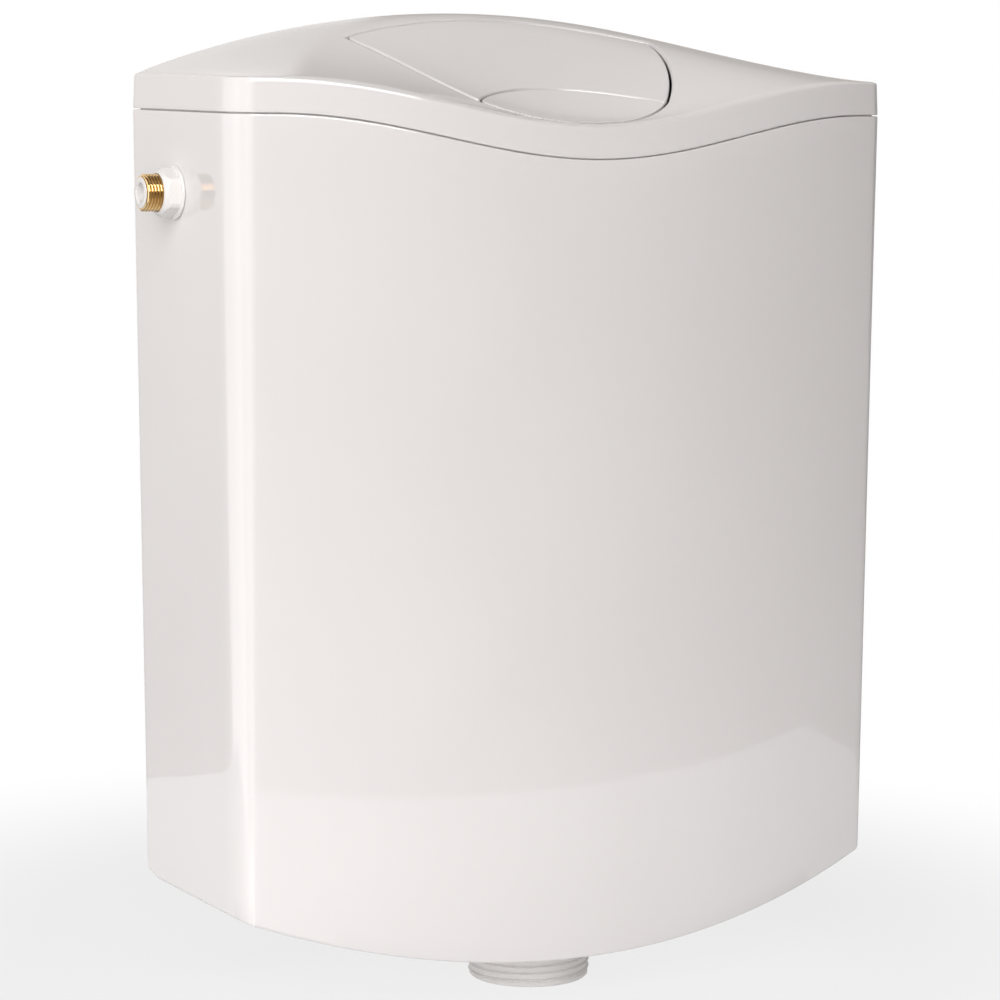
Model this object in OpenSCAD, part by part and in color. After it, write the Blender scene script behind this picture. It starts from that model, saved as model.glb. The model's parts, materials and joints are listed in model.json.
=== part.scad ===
// Wall-hung plastic toilet cistern with a two-button lid.
// Origin: midway between the two wall-fixing holes, on the rear face. +X right, +Y into the wall, +Z up.

/* [Tank] */
// Width of the tank at its rim
tank_w = 425; // [400:1:450]
// Depth of the side walls at the rim
side_d = 142; // [136:1:155]
// Bulge of the front wall beyond the side walls
front_bow = 26; // [22:1:32]
// Height of the side walls
tank_h = 444; // [430:1:470]
// Sag of the arched foot below the side walls
foot_sag = 37; // [30:1:45]
// How much each wall leans in from the rim to the foot
draft = 5; // [3:0.5:7]
// Radius of the upright front corners
corner_r = 13; // [12:0.5:18]
// Depth of the dip in the front rim
dip = 25; // [20:1:28]
// Length of the dip from crest to crest
dip_len = 384; // [350:1:400]
// Rise of the rim from the front corners to the wall
rear_rise = 2.4; // [0:0.2:4]
// Depth of the bevel along the rear edge of the foot
heel_d = 15; // [10:1:20]
// Height of the bevel along the rear edge of the foot
heel_h = 3.3; // [2:0.1:5]
// Thickness of the moulded walls
wall = 3; // [2.5:0.1:3.5]
// Height of the rim above the wall fixings
rim_z = 70; // [66:1:80]

/* [Lid] */
// Height of the lid's skirt
skirt_h = 20; // [18:1:24]
// Rise of the lid's crown above the skirt at the wall
crown = 38; // [34:1:42]
// Steepness of the lid's ends towards the front
end_slope = 1.65; // [1.4:0.05:2]
// Radius of the lid's top edge
edge_r = 6; // [4:0.5:7]
// Seam between lid and tank
seam = 0.7; // [0.5:0.1:0.9]
// Depth of the locating lip below the seam
lip_h = 8; // [6:1:10]
// Thickness of the locating lip
lip_t = 2; // [1.6:0.1:2.4]
// Clearance between the locating lip and the tank
lip_gap = 0.5; // [0.4:0.05:0.8]

/* [Buttons] */
// Wall to the rear edge of the button field
field_rear = 26; // [24:1:28]
// Half the width of the button field
field_half_w = 102; // [98:1:106]
// Wall to the tips of the button field
field_tip = 50; // [46:1:54]
// Half the distance between the front corners of the field
field_front_half_w = 62; // [60:1:66]
// Wall to the front corners of the field
field_corner = 137.5; // [135:0.5:140]
// Wall to the front edge of the field
field_front = 161; // [158:1:162]
// Bulge of the field's sides
field_side_bulge = 7; // [5:1:9]
// Wall to the rear edge of the partial button
partial_rear = 106; // [103:1:109]
// Radius of the partial button's rear edge
partial_edge_r = 75; // [70:1:80]
// Gap round each button
button_gap = 1.3; // [1.2:0.1:1.6]
// Thickness of the button plates
button_t = 3; // [2.6:0.1:3.4]
// Wall to the buttons' hinge rod
hinge_y = 40; // [38:1:42]
// Height of the buttons' hinge rod above the rim
hinge_up = 28; // [26:1:30]
// Radius of the buttons' hinge rod
hinge_r = 2.5; // [2:0.1:3]
// Hinge rod's middle to the full button's lugs
full_lug_x = 56; // [54:1:58]
// Thickness of lugs, ears and arms on the hinge rod
ear_t = 4; // [3.5:0.1:4.5]
// Sideways gap between neighbours on the hinge rod
lug_gap = 4; // [3:0.5:5]
// Radius of the lugs round the hinge rod
ear_r = 6; // [5.5:0.1:6.5]
// Front-to-back size of the pushers
pusher_y = 5; // [4:0.5:6]
// Radial clearance of everything that turns on a pin
run_gap = 0.05; // [0.03:0.01:0.08]

/* [Rockers] */
// Sideways offset of the rocker pin from the flush valve
rocker_x = 26; // [25:0.5:27]
// Depth of the rocker pin below the rim
rocker_drop = 24; // [23:0.5:25]
// Radius of the rocker pin
rocker_pin_r = 2.5; // [2:0.1:2.8]
// Rocker pin to the pusher
push_arm = 12; // [11.5:0.1:12.5]
// Rocker pin to the lift rods
lift_arm = 34; // [33:0.5:36]
// Width of a rocker
rocker_w = 14; // [13:0.5:15]
// Front spacing of the two rockers
rocker_pitch = 33; // [32:0.5:35]
// Wall of a rocker's hub round its pin
hub_t = 3.5; // [3:0.1:4]
// Length of a rocker's pad
pad_l = 12; // [10:0.5:13]
// How far a rocker's fork reaches past its lift rod
fork_over = 8; // [6:0.5:9]
// Thickness of the rocker arms
arm_t = 4; // [3.5:0.1:4.5]
// Height of a rocker's pad above its pin
pad_up = 6; // [5.5:0.1:6.5]
// Height of a rocker's fork above its pin
lift_up = 2; // [1.5:0.1:2.5]
// Thickness of the lift rods
rod_x = 3; // [2.5:0.1:3.5]
// Width of the lift rods
rod_y = 5; // [4:0.1:5.5]
// Clearance of rods in slots and guides
slot_gap = 0.4; // [0.35:0.05:0.6]
// Thickness of the bracket's plate and lugs
bracket_t = 5; // [4:0.5:6]
// Height of the bracket's beam
beam_t = 8; // [7:0.5:10]
// Width of the bracket's beam
beam_w = 14; // [13:0.5:16]
// Rocker pin down to the bracket's beam
beam_drop = 16; // [14:0.5:18]
// Radius of the bracket's bosses
boss_r = 5.5; // [5:0.1:6]
// Length of the bracket's bosses
boss_l = 8; // [6:0.5:10]
// Half the distance between the bracket's bosses
boss_x = 20; // [18:0.5:24]
// Radius of the bracket's screws
screw_r = 1.8; // [1.5:0.1:2]
// Thickness of the screws' heads
screw_head_t = 2.5; // [2:0.1:3]
// Width of the lift rods' cross heads
head_w = 9; // [8:0.5:10]
// Play between pushers, rockers and lift rods at rest
play = 0.4; // [0.35:0.01:0.45]
// Radius of the rounded pushers and rod heads
head_r = 2.5; // [2.2:0.1:2.7]

/* [Flush valve] */
// Wall to the flush outlet's axis
outlet_y = 89; // [87:1:91]
// Crest radius of the outlet thread
outlet_r = 36; // [35:0.5:37]
// Bore radius of the outlet
outlet_bore_r = 28; // [27:0.5:29]
// Length of the outlet below the tank's foot
outlet_l = 27.5; // [24:0.5:32]
// Plain length at the end of the outlet
outlet_lead = 2; // [1:0.5:4]
// Pitch of the outlet thread
outlet_pitch = 4; // [3:0.5:5]
// Depth of the outlet thread
thread_depth = 1.6; // [1.2:0.1:2]
// How far the outlet's flat pad stands below the arched foot
pad_drop = 1; // [0.5:0.1:1.5]
// Width of the outlet's pad round its gasket
pad_rim = 4; // [3:0.5:6]
// Thickness of the outlet gasket
gasket_t = 3; // [2:0.5:4]
// Radius of the valve seat's flange
flange_r = 46; // [45:0.5:48]
// Thickness of the valve seat's flange
flange_t = 5; // [4:0.5:6]
// Height of the valve seat's lip
lip_up = 4; // [3:0.5:5]
// Gap that a piece at rest keeps above its seat
seat_gap = 0.3; // [0.2:0.05:0.5]
// Thickness of the seal washer
washer_t = 3; // [2:0.5:4]
// Radius of the bell at the foot of the overflow tube
bell_r = 33; // [32:0.5:35]
// Height of the bell
bell_h = 26; // [22:1:30]
// Wall of the overflow tube and the float
bell_t = 2; // [1.6:0.1:2.4]
// Thickness of the basket's rings
deck_t = 4; // [3:0.5:5]
// Clearance of the overflow tube in its guides
guide_gap = 0.5; // [0.4:0.05:0.7]
// Thickness of the bar across the overflow's mouth
bridge_t = 6; // [5:0.5:7]
// Radius of the outlet locknut
locknut_r = 44; // [42:0.5:46]
// Height of the outlet locknut
locknut_h = 7; // [6:0.5:9]
// Gap between the bell and the basket's base
basket_gap = 3; // [2:0.5:4]
// Height of the valve basket
basket_h = 64; // [60:1:72]
// Radius of the overflow tube
tube_r = 17; // [15:0.5:18]
// Height of the overflow's mouth below the rim
overflow_drop = 130; // [110:1:150]
// Radius of the partial-flush float
catch_r = 38; // [37.5:0.5:40]
// Height of the partial-flush float
catch_h = 44; // [36:1:52]

/* [Water inlet] */
// Wall to the inlet's axis
inlet_y = 59; // [57:1:61]
// Depth of the inlet's axis below the rim
inlet_drop = 43.6; // [42:0.2:46]
// Crest radius of the inlet's pipe thread
inlet_r = 10.48; // [10:0.01:11]
// Pitch of the inlet's pipe thread
inlet_pitch = 1.814; // [1.5:0.001:2]
// How far the inlet stands out of the tank
inlet_l = 21; // [19:0.5:24]
// Radius of the clamping nut
nut_r = 15.3; // [14.5:0.1:16]
// Width of the clamping nut across its flats
nut_flats = 28.9; // [27:0.1:29.5]
// Radius of the clamping nut's front face
nose_r = 11.8; // [11.5:0.1:13]
// Length of the cone behind the clamping nut's front face
nose_l = 4.5; // [3:0.5:6]
// Thickness of the nut's and the plug's round flange
nut_flange_t = 2; // [1.5:0.1:2.5]
// Length of the clamping nut
nut_l = 11; // [9:0.5:12]
// Reach of the fill valve into the tank
fill_reach = 62; // [58:1:68]
// Depth of the inlet's pipe thread
pipe_depth = 1.16; // [1:0.01:1.3]
// Bore radius of the inlet
inlet_bore_r = 7.5; // [7:0.1:8]
// Bore radius of the inlet's sleeve and of the fill tube
sleeve_bore_r = 5; // [4:0.1:5.5]
// Depth of the sleeve's end inside the inlet
sleeve_recess = 2; // [1:0.5:4]
// Thickness of the inlet's seal
seal_t = 2; // [1.5:0.1:3]
// Radius of the fill valve's wall flange and seal
wall_flange_r = 16; // [15:0.5:18]
// Radius of the fill valve's shank
shank_r = 13; // [11:0.5:14]
// Wall of the fill valve
valve_t = 3; // [2.5:0.1:3.5]
// Radius of the fill valve's chamber
chamber_r = 15; // [14:0.5:17]
// Height of the fill valve's chamber
chamber_h = 30; // [28:1:36]
// Thickness of the diaphragm
diaphragm_t = 2; // [1.5:0.1:2.5]
// Height of the fill valve's cap with its diaphragm
cap_h = 9; // [8:0.5:12]
// Height of the lever's pin above the cap
lever_up = 9; // [8.5:0.5:11]
// Radius of the lever's pin
lever_pin_r = 2; // [1.5:0.1:2.2]
// Thickness of the float lever
lever_t = 3; // [2.6:0.1:3.4]
// Width of the float lever
lever_w = 9; // [8:0.5:11]
// Radius of the float's rod
float_rod_r = 2; // [1.6:0.1:2.2]
// Radius of the float
float_r = 24; // [20:0.5:26]
// Inlet's axis down to the top of the float
float_drop = 34; // [32:1:44]
// Inlet's axis down to the rod's guide arm
guide_drop = 6; // [4:0.5:8]
// Length of the filling tube
fill_tube_l = 150; // [120:1:180]
// Length of the float lever
lever_l = 45; // [44:0.5:46]
// Length of the float lever's tail
lever_tail = 16; // [14:0.5:17]
// Height of the fill valve's float
float_h = 48; // [40:1:56]

/* [Wall fixing] */
// Distance between the wall-fixing holes
fixing_pitch = 230; // [200:1:260]
// Radius of the wall-fixing holes
fixing_r = 4.5; // [4:0.1:5]
// Thickness of the insulating liner
liner_t = 8; // [6:0.5:9]
// Gap between the liner and the tank
liner_gap = 0.4; // [0.3:0.05:0.8]
// Wall fixings down to the top of the liner
liner_drop = 18; // [16:1:60]

/* [Hidden] */
$fn = 48;

abs_white = "whitesmoke";
pp_grey = "gainsboro";
pp_blue = "lightsteelblue";
foam_white = "ivory";
rubber_black = "dimgray";
brass_gold = "goldenrod";
steel_grey = "silver";

// Shared geometry of tank and lid
bow_r = (pow(tank_w / 2, 2) + pow(front_bow, 2)) / (2 * front_bow);
front_y = side_d + front_bow;
foot_z = rim_z - tank_h - foot_sag;
corner_n = 4;
bow_n = 22;
station_n = 2 * corner_n + bow_n;
least_corner = 1.2;
// Length by which a cut runs past its solid or a piece roots in another
over = 1;
// Shares of a thread's pitch that its crest and each of its flanks take
crest_share = 0.3;
flank_share = 0.2;

// Buttons and rockers, worked out from the driving sizes
hinge_z = rim_z + hinge_up;
lid_ear_x = full_lug_x + ear_t + lug_gap;
partial_arm_x = full_lug_x - ear_t - lug_gap;
hinge_span = 2 * (lid_ear_x + ear_t);
rocker_z = rim_z - rocker_drop;
pad_z = rocker_z + pad_up;
lift_z = rocker_z + lift_up;
push_x = -rocker_x - push_arm;
lift_x = -rocker_x + lift_arm;
partial_y = outlet_y + rocker_pitch;
rod_head_z = lift_z + head_r + play;
boss_z = rocker_z - beam_drop - beam_t / 2;

// Flush valve levels, from the floor pad upwards
pad_low = foot_z - pad_drop;
pad_r = flange_r + pad_rim;
floor_z = foot_z + wall + 2 * pad_drop;
flange_z = floor_z + gasket_t;
seat_z = flange_z + flange_t;
washer_z = seat_z + lip_up + seat_gap;
deck_z = seat_z + basket_h;
overflow_z = rim_z - overflow_drop;
catch_z = deck_z + seat_gap;
outlet_low = foot_z - outlet_l;
outlet_core_r = outlet_r - thread_depth;
outlet_thread_l = pad_low - locknut_h - outlet_low;

// Water inlet levels, measured from the outside of the side wall
inlet_z = rim_z - inlet_drop;
wall_x = tank_w / 2 - draft * inlet_drop / tank_h;
lean_gap = draft * wall_flange_r / tank_h + run_gap;
outer_x = wall_x + lean_gap;
inner_x = wall_x - wall - lean_gap;
pipe_l = inlet_l + wall_x - inner_x + seal_t;
inlet_core_r = inlet_r - pipe_depth;
inlet_thread_l = wall_x + inlet_l - outer_x - nut_l;
head_x = wall_x - fill_reach;
lever_z = inlet_z + chamber_h / 2 + cap_h + lever_up;
lever_x = head_x - chamber_r + 2 * lever_pin_r;
float_x = lever_x - lever_l;
float_top = inlet_z - float_drop;

function sq(v) = v * v;

// Half width, front depth, bow radius and corner radius of the plan at height z, drawn in by e
function plan(z, e) =
    let (lean = draft * (rim_z - z) / tank_h)
    [tank_w / 2 - lean - e, front_y - lean - e, bow_r - e, max(corner_r - e, least_corner)];

// Front point of station k on a plan: round the left corner, along the bow, round the right corner
function front_point(p, k) =
    let (
        hw = p[0],
        yc = p[2] - p[1],
        r = p[3],
        cx = hw - r,
        cy = yc - sqrt(sq(p[2] - r) - sq(cx)),
        end_a = acos(cx / (p[2] - r)),
        xt = cx * p[2] / (p[2] - r),
        from_end = min(k, station_n - k),
        side = k < station_n / 2 ? -1 : 1,
        a = end_a * from_end / corner_n,
        x = xt * (2 * (k - corner_n) / bow_n - 1)
    )
    from_end <= corner_n
        ? [side * (cx + r * cos(a)), cy - r * sin(a)]
        : [x, yc - sqrt(sq(p[2]) - sq(x))];

// Share of the dip at x, from 1 in the middle to 0 at the crests
function dip_share(x) = (1 + cos(180 * min(1, abs(x) / (dip_len / 2)))) / 2;
function front_rim(x) = rim_z - dip * dip_share(x);
function rear_rim() = rim_z + rear_rise;
function foot(x) = rim_z - tank_h - foot_sag * (1 - sq(x / (tank_w / 2)));

// Solid of the tank drawn in by e, from the foot raised by floor_up to the rim raised by top_up
module tank_solid(e, floor_up, top_up) {
    loft([
        for (k = [0 : station_n])
            let (
                x0 = front_point(plan(rim_z, e), k)[0],
                zf = front_rim(x0) + top_up,
                zb = foot(x0) + floor_up,
                zr = rear_rim() + top_up,
                top = front_point(plan(zf, e), k),
                low = front_point(plan(zb, e), k),
                back = front_point(plan(zr, e), k)
            )
            [
                [low[0], -e, zb + heel_h],
                [low[0], -e - heel_d, zb],
                [low[0], low[1], zb],
                [top[0], top[1], zf],
                [back[0], -e, zr]
            ]
    ]);
}

// Ring of wall between two insets that follows the seam, from low to high above the rim
module rim_ring(outer_e, inner_e, low, high) {
    difference() {
        rim_slab(outer_e, low, high);
        rim_slab(inner_e, low - over, high + over);
    }
}

module rim_slab(e, low, high) {
    loft([
        for (k = [0 : station_n])
            let (
                f = front_point(plan(rim_z, e), k),
                zf = front_rim(f[0])
            )
            [
                [f[0], -e, rear_rim() + low],
                [f[0], f[1], zf + low],
                [f[0], f[1], zf + high],
                [f[0], -e, rear_rim() + high]
            ]
    ]);
}

// Height of the lid's top: an arch at the wall runs down to the dipped edge of the skirt
arch_r = (sq(tank_w / 2) + sq(crown)) / (2 * crown);
function arch(x) = rear_rim() + skirt_h + crown - arch_r + sqrt(sq(arch_r) - sq(x));
function lid_top(x, y, yf) =
    let (
        t = max(0, min(1, y / yf)),
        c = dip_share(x),
        s = (1 - c) * pow(t, end_slope) + c * t * t * (3 - 2 * t)
    )
    arch(x) + (front_rim(x) + skirt_h - arch(x)) * s;
function edge_drop(r, dx, dy) =
    let (q = min(norm([max(r - dx, 0), max(r - dy, 0)]), r))
    r - sqrt(sq(r) - sq(q));

// Steps from the front edge to the wall: close together round the edge, then even
round_steps = [0, 0.13, 0.5, 1];
row_n = 10;
function steps(depth, r) = concat(
    [for (s = round_steps) s * r],
    [for (i = [1 : row_n]) r + (depth - r) * i / row_n]
);

// Solid of the lid drawn in by e, its top lowered by down, from the seam lowered by below
module lid_solid(e, down, below) {
    p = plan(rim_z, e);
    r = max(edge_r - e, over);
    loft([
        for (k = [0 : station_n])
            let (
                f = front_point(p, k),
                outer_y = -front_y + bow_r - sqrt(sq(bow_r) - sq(f[0]))
            )
            concat(
                [
                    [f[0], -e, rear_rim() + seam - below],
                    [f[0], f[1], front_rim(f[0]) + seam - below]
                ],
                [
                    for (s = steps(-f[1] - e, r))
                        let (y = f[1] + s)
                        [f[0], y, lid_top(f[0], y, outer_y) - down - edge_drop(r, p[0] - abs(f[0]), s)]
                ]
            )
    ]);
}

// Closed skin through equal loops of points, with flat ends
module loft(loops) {
    n = len(loops);
    m = len(loops[0]);
    points = [for (l = loops) for (q = l) q];
    sides = [
        for (i = [0 : n - 2], j = [0 : m - 1])
            let (
                a = i * m + j,
                b = i * m + (j + 1) % m,
                c = a + m,
                d = b + m
            )
            each [[a, b, d], [a, d, c]]
    ];
    ends = [
        [for (j = [0 : m - 1]) m - 1 - j],
        [for (j = [0 : m - 1]) (n - 1) * m + j]
    ];
    polyhedron(points, concat(sides, ends));
}

// Disc through a point at the apex of an arc and its chord
function disc_r(half_chord, rise) = (sq(half_chord) + sq(rise)) / (2 * rise);

// Plan of the whole button field, drawn in by e
module field(e) {
    rear_r = disc_r(field_half_w, field_tip - field_rear);
    front_r = disc_r(field_front_half_w, field_front - field_corner);
    chord = [field_half_w - field_front_half_w, field_corner - field_tip];
    side_r = disc_r(norm(chord) / 2, field_side_bulge);
    out = [chord[1], -chord[0]] / norm(chord);
    middle = [(field_half_w + field_front_half_w) / 2, -(field_tip + field_corner) / 2];
    side_c = middle - out * (side_r - field_side_bulge);
    intersection() {
        translate([0, -field_rear - rear_r]) circle(r = rear_r - e, $fn = 180);
        union() {
            translate([0, front_r - field_front]) circle(r = front_r - e, $fn = 180);
            translate([-tank_w / 2, -field_corner]) square([tank_w, field_corner]);
        }
        translate(side_c) circle(r = side_r - e, $fn = 180);
        translate([-side_c[0], side_c[1]]) circle(r = side_r - e, $fn = 180);
    }
}

// Disc whose rear edge parts the two buttons, grown by e
module partial_disc(e) {
    translate([0, -partial_rear - partial_edge_r]) circle(r = partial_edge_r + e, $fn = 180);
}

// Upright column from a plan, tall enough to pass through the lid
column_low = rim_z - dip - over;
column_h = dip + skirt_h + crown + rear_rise + 10 * over;
module column() {
    translate([0, 0, column_low]) linear_extrude(column_h) children();
}

// Plate that follows the lid's top
module lid_skin(t) {
    difference() {
        lid_solid(0, 0, 0);
        lid_solid(0, t, over);
    }
}

// Flat plate in the YZ plane, centred on x
module side_plate(x, t) {
    translate([x - t / 2, 0, 0]) rotate([90, 0, 90]) linear_extrude(t) children();
}

// Flat plate in the XZ plane, centred on y
module front_plate(y, t) {
    translate([0, y + t / 2, 0]) rotate([90, 0, 0]) linear_extrude(t) children();
}

// Round bar along X, along Y or up Z
module bar_x(x, y, z, r, l) { translate([x, y, z]) rotate([0, 90, 0]) cylinder(r = r, h = l); }
module bar_y(x, y, z, r, l) { translate([x, y, z]) rotate([-90, 0, 0]) cylinder(r = r, h = l); }
module bar_z(x, y, z, r, l) { translate([x, y, z]) cylinder(r = r, h = l); }

// Ring up Z
module ring_z(x, y, z, r_out, r_in, l) {
    difference() {
        bar_z(x, y, z, r_out, l);
        bar_z(x, y, z - over, r_in, l + 2 * over);
    }
}

// Ring along X
module ring_x(x, y, z, r_out, r_in, l) {
    difference() {
        bar_x(x, y, z, r_out, l);
        bar_x(x - over, y, z, r_in, l + 2 * over);
    }
}

// Tube up Z with a bore. After a plain lead its first thread_l has crests at r, one for each pitch
module threaded_tube(r, bore, depth, pitch, lead, thread_l, l) {
    turns = floor((thread_l - lead) / pitch);
    land = pitch * crest_share;
    slope = pitch * flank_share;
    rotate_extrude($fn = 96) polygon(concat(
        [[bore, 0], [r - depth, 0]],
        [
            for (i = [0 : turns - 1])
                let (z = lead + i * pitch + (pitch - land) / 2)
                each [
                    [r - depth, z - slope],
                    [r, z],
                    [r, z + land],
                    [r - depth, z + land + slope]
                ]
        ],
        [[r - depth, l], [bore, l]]
    ));
}

// The tank

module tank_shell() {
    color(abs_white) difference() {
        union() {
            difference() {
                tank_solid(0, 0, 0);
                tank_solid(wall, wall, dip + skirt_h);
            }
            bar_z(0, -outlet_y, pad_low, pad_r, floor_z - pad_low);
            for (s = [-1, 1]) {
                bar_y(s * fixing_pitch / 2, -wall - 2 * over, 0, 2 * fixing_r, wall + over);
                bar_y(s * boss_x - rocker_x, -wall - boss_l, boss_z, boss_r, boss_l + over);
            }
        }
        bar_z(0, -outlet_y, pad_low - over, outlet_r + play, floor_z - pad_low + 2 * over);
        for (s = [-1, 1]) {
            bar_y(s * fixing_pitch / 2, -wall - 3 * over, 0, fixing_r, wall + 4 * over);
            bar_y(s * boss_x - rocker_x, -wall - boss_l - over, boss_z, screw_r, boss_l + over);
            bar_x(s * wall_x - 3 * wall, -inlet_y, inlet_z, inlet_r + play, 6 * wall);
        }
    }
}

module insulation_liner() {
    e = wall + liner_gap;
    color(foam_white) difference() {
        tank_solid(e, e, 0);
        tank_solid(e + liner_t, e + liner_t, dip);
        translate([-tank_w, -tank_w, -liner_drop]) cube([2 * tank_w, 2 * tank_w, tank_h]);
        bar_z(0, -outlet_y, foot_z - over, pad_r + 2 * over, tank_h / 2);
    }
}

// The flush valve

module outlet_gasket() {
    color(rubber_black) ring_z(0, -outlet_y, floor_z, flange_r, outlet_r + play, gasket_t);
}

module valve_seat() {
    color(pp_grey) {
        translate([0, -outlet_y, outlet_low])
            threaded_tube(
                outlet_r, outlet_bore_r, thread_depth, outlet_pitch,
                outlet_lead, outlet_thread_l, flange_z - outlet_low + over
            );
        ring_z(0, -outlet_y, flange_z, flange_r, outlet_bore_r, flange_t);
        ring_z(0, -outlet_y, seat_z - over, outlet_bore_r + bell_t, outlet_bore_r, lip_up + over);
    }
}

module outlet_locknut() {
    color(abs_white)
        ring_z(0, -outlet_y, pad_low - locknut_h, locknut_r, outlet_core_r + run_gap, locknut_h);
}

post_n = 6;
module valve_basket() {
    base_in = bell_r + basket_gap;
    color(pp_blue) {
        ring_z(0, -outlet_y, seat_z, flange_r - over, base_in, deck_t);
        for (i = [0 : post_n - 1])
            translate([0, -outlet_y, seat_z])
                rotate(360 / post_n * (i + 0.5))
                    translate([base_in + over, -deck_t, over])
                        cube([flange_r - base_in - 3 * over, 2 * deck_t, basket_h - over]);
        ring_z(0, -outlet_y, deck_z - deck_t, flange_r - over, tube_r + guide_gap, deck_t);
    }
}

module overflow_tube() {
    base = washer_z + washer_t;
    color(pp_blue) {
        translate([0, -outlet_y, base]) rotate_extrude($fn = 96) polygon([
            [tube_r - bell_t, 0],
            [bell_r, 0],
            [bell_r, deck_t],
            [tube_r, bell_h],
            [tube_r, overflow_z - base],
            [tube_r - bell_t, overflow_z - base]
        ]);
        translate([-tube_r + bell_t / 2, -outlet_y - bridge_t / 2, overflow_z - 2 * bridge_t])
            cube([2 * tube_r - bell_t, bridge_t, bridge_t]);
    }
}

module seal_washer() {
    color(rubber_black) ring_z(0, -outlet_y, washer_z, bell_r - over, tube_r + over, washer_t);
}

// Lift rod with a round cross head for a rocker, down to low
module lift_rod(y, low) {
    color(pp_grey) {
        translate([lift_x - rod_x / 2, -y - rod_y / 2, low]) cube([rod_x, rod_y, rod_head_z - low]);
        translate([lift_x - rod_x, -y - rod_y / 2, low]) cube([2 * rod_x, rod_y, rod_x]);
        bar_y(lift_x, -y - head_w / 2, rod_head_z, head_r, head_w);
    }
}

module full_lift_rod() { lift_rod(outlet_y, overflow_z - bridge_t); }

module partial_lift_rod() { lift_rod(partial_y, catch_z + catch_h); }

// Closed float that rides on the overflow tube
module partial_float() {
    color(pp_grey) ring_z(0, -outlet_y, catch_z, catch_r, tube_r + guide_gap, catch_h);
}

// The rockers and their bracket

function lug_places() = [
    for (y = [outlet_y, partial_y], s = [-1, 1])
        -y + s * (rocker_w / 2 + slot_gap + bracket_t / 2)
];

module bearing_bracket() {
    plate_y = -wall - boss_l - bracket_t;
    beam_z = rocker_z - beam_drop - beam_t;
    beam_end = lug_places()[2] - bracket_t / 2;
    color(pp_grey) difference() {
        union() {
            translate([-rocker_x - boss_x - 2 * boss_r, plate_y, beam_z - beam_t])
                cube([2 * boss_x + 4 * boss_r, bracket_t, 3 * beam_t]);
            translate([-rocker_x - beam_w / 2, beam_end, beam_z])
                cube([beam_w, plate_y - beam_end + over, beam_t]);
            for (y = lug_places())
                translate([-rocker_x - beam_w / 2, y - bracket_t / 2, beam_z])
                    cube([beam_w, bracket_t, beam_t + beam_drop + 2 * rocker_pin_r]);
        }
        bar_y(-rocker_x, beam_end - over, rocker_z, rocker_pin_r + run_gap, plate_y - beam_end);
        for (s = [-1, 1])
            bar_y(s * boss_x - rocker_x, plate_y - over, boss_z, screw_r + slot_gap, bracket_t + 2 * over);
    }
}

module bracket_screws() {
    face_y = -wall - boss_l - bracket_t;
    color(steel_grey) for (s = [-1, 1]) {
        bar_y(s * boss_x - rocker_x, face_y, boss_z, screw_r - run_gap, bracket_t + boss_l - over);
        bar_y(s * boss_x - rocker_x, face_y - screw_head_t, boss_z, 2 * screw_r, screw_head_t);
    }
}

module rocker_pin() {
    low = lug_places()[2] - bracket_t;
    high = lug_places()[1] + bracket_t;
    color(steel_grey) bar_y(-rocker_x, low, rocker_z, rocker_pin_r, high - low);
}

// Two-armed lever on the rocker pin: pad on the left for a pusher, fork on the right for a lift rod
module rocker(y) {
    hub_r = rocker_pin_r + hub_t;
    pad_half = pad_l / 2;
    fork_end = lift_arm + fork_over;
    color(pp_blue) difference() {
        union() {
            bar_y(-rocker_x, -y - rocker_w / 2, rocker_z, hub_r, rocker_w);
            front_plate(-y, rocker_w) translate([-rocker_x, rocker_z]) polygon([
                [-push_arm - pad_half, pad_up],
                [-push_arm - pad_half, pad_up - arm_t],
                [-hub_r, -lift_up],
                [0, lift_up - arm_t],
                [fork_end, lift_up - arm_t],
                [fork_end, lift_up],
                [0, lift_up],
                [-push_arm + pad_half, pad_up]
            ]);
        }
        bar_y(-rocker_x, -y - rocker_w, rocker_z, rocker_pin_r + run_gap, 2 * rocker_w);
        translate([lift_x - rod_x / 2 - 2 * arm_t, -y - rod_y / 2 - slot_gap, rocker_z - 2 * arm_t])
            cube([rod_x + 2 * arm_t + fork_end, rod_y + 2 * slot_gap, 4 * arm_t]);
    }
}

module full_rocker() { rocker(outlet_y); }

module partial_rocker() { rocker(partial_y); }

// The lid and its buttons

// Ear in the YZ plane, from the underside of the lid to the hinge rod
module lid_ear(x) {
    reach = field_rear + ear_r;
    side_plate(x, ear_t) polygon([
        [-2 * wall, hinge_z + skirt_h + crown],
        [-reach, hinge_z + skirt_h + crown],
        [-reach, hinge_z + 2 * ear_r],
        [-hinge_y - ear_r, hinge_z],
        [-hinge_y, hinge_z - ear_r],
        [-hinge_y + ear_r, hinge_z - ear_r],
        [-2 * wall, hinge_z + 2 * ear_r]
    ]);
}

module lid() {
    ring_in = wall + lip_gap + lip_t;
    color(abs_white) difference() {
        union() {
            difference() {
                lid_solid(0, 0, 0);
                lid_solid(wall, wall, over);
                column() field(0);
            }
            rim_ring(wall - over, ring_in, seam, seam + lip_h / 2);
            rim_ring(wall + lip_gap, ring_in, -lip_h, seam + over);
            intersection() {
                lid_solid(wall / 2, wall / 2, over);
                for (s = [-1, 1]) lid_ear(s * lid_ear_x);
            }
        }
        bar_x(-hinge_span, -hinge_y, hinge_z, hinge_r + run_gap, 2 * hinge_span);
    }
}

module button_hinge_rod() {
    color(steel_grey) bar_x(-hinge_span / 2, -hinge_y, hinge_z, hinge_r, hinge_span);
}

// Post from a button's underside to its rocker's pad
module pusher(y) {
    translate([push_x - head_r, -y - pusher_y / 2, pad_z + play + head_r])
        cube([2 * head_r, pusher_y, skirt_h + crown + rocker_drop]);
    bar_y(push_x, -y - pusher_y / 2, pad_z + play + head_r, head_r, pusher_y);
}

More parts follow.
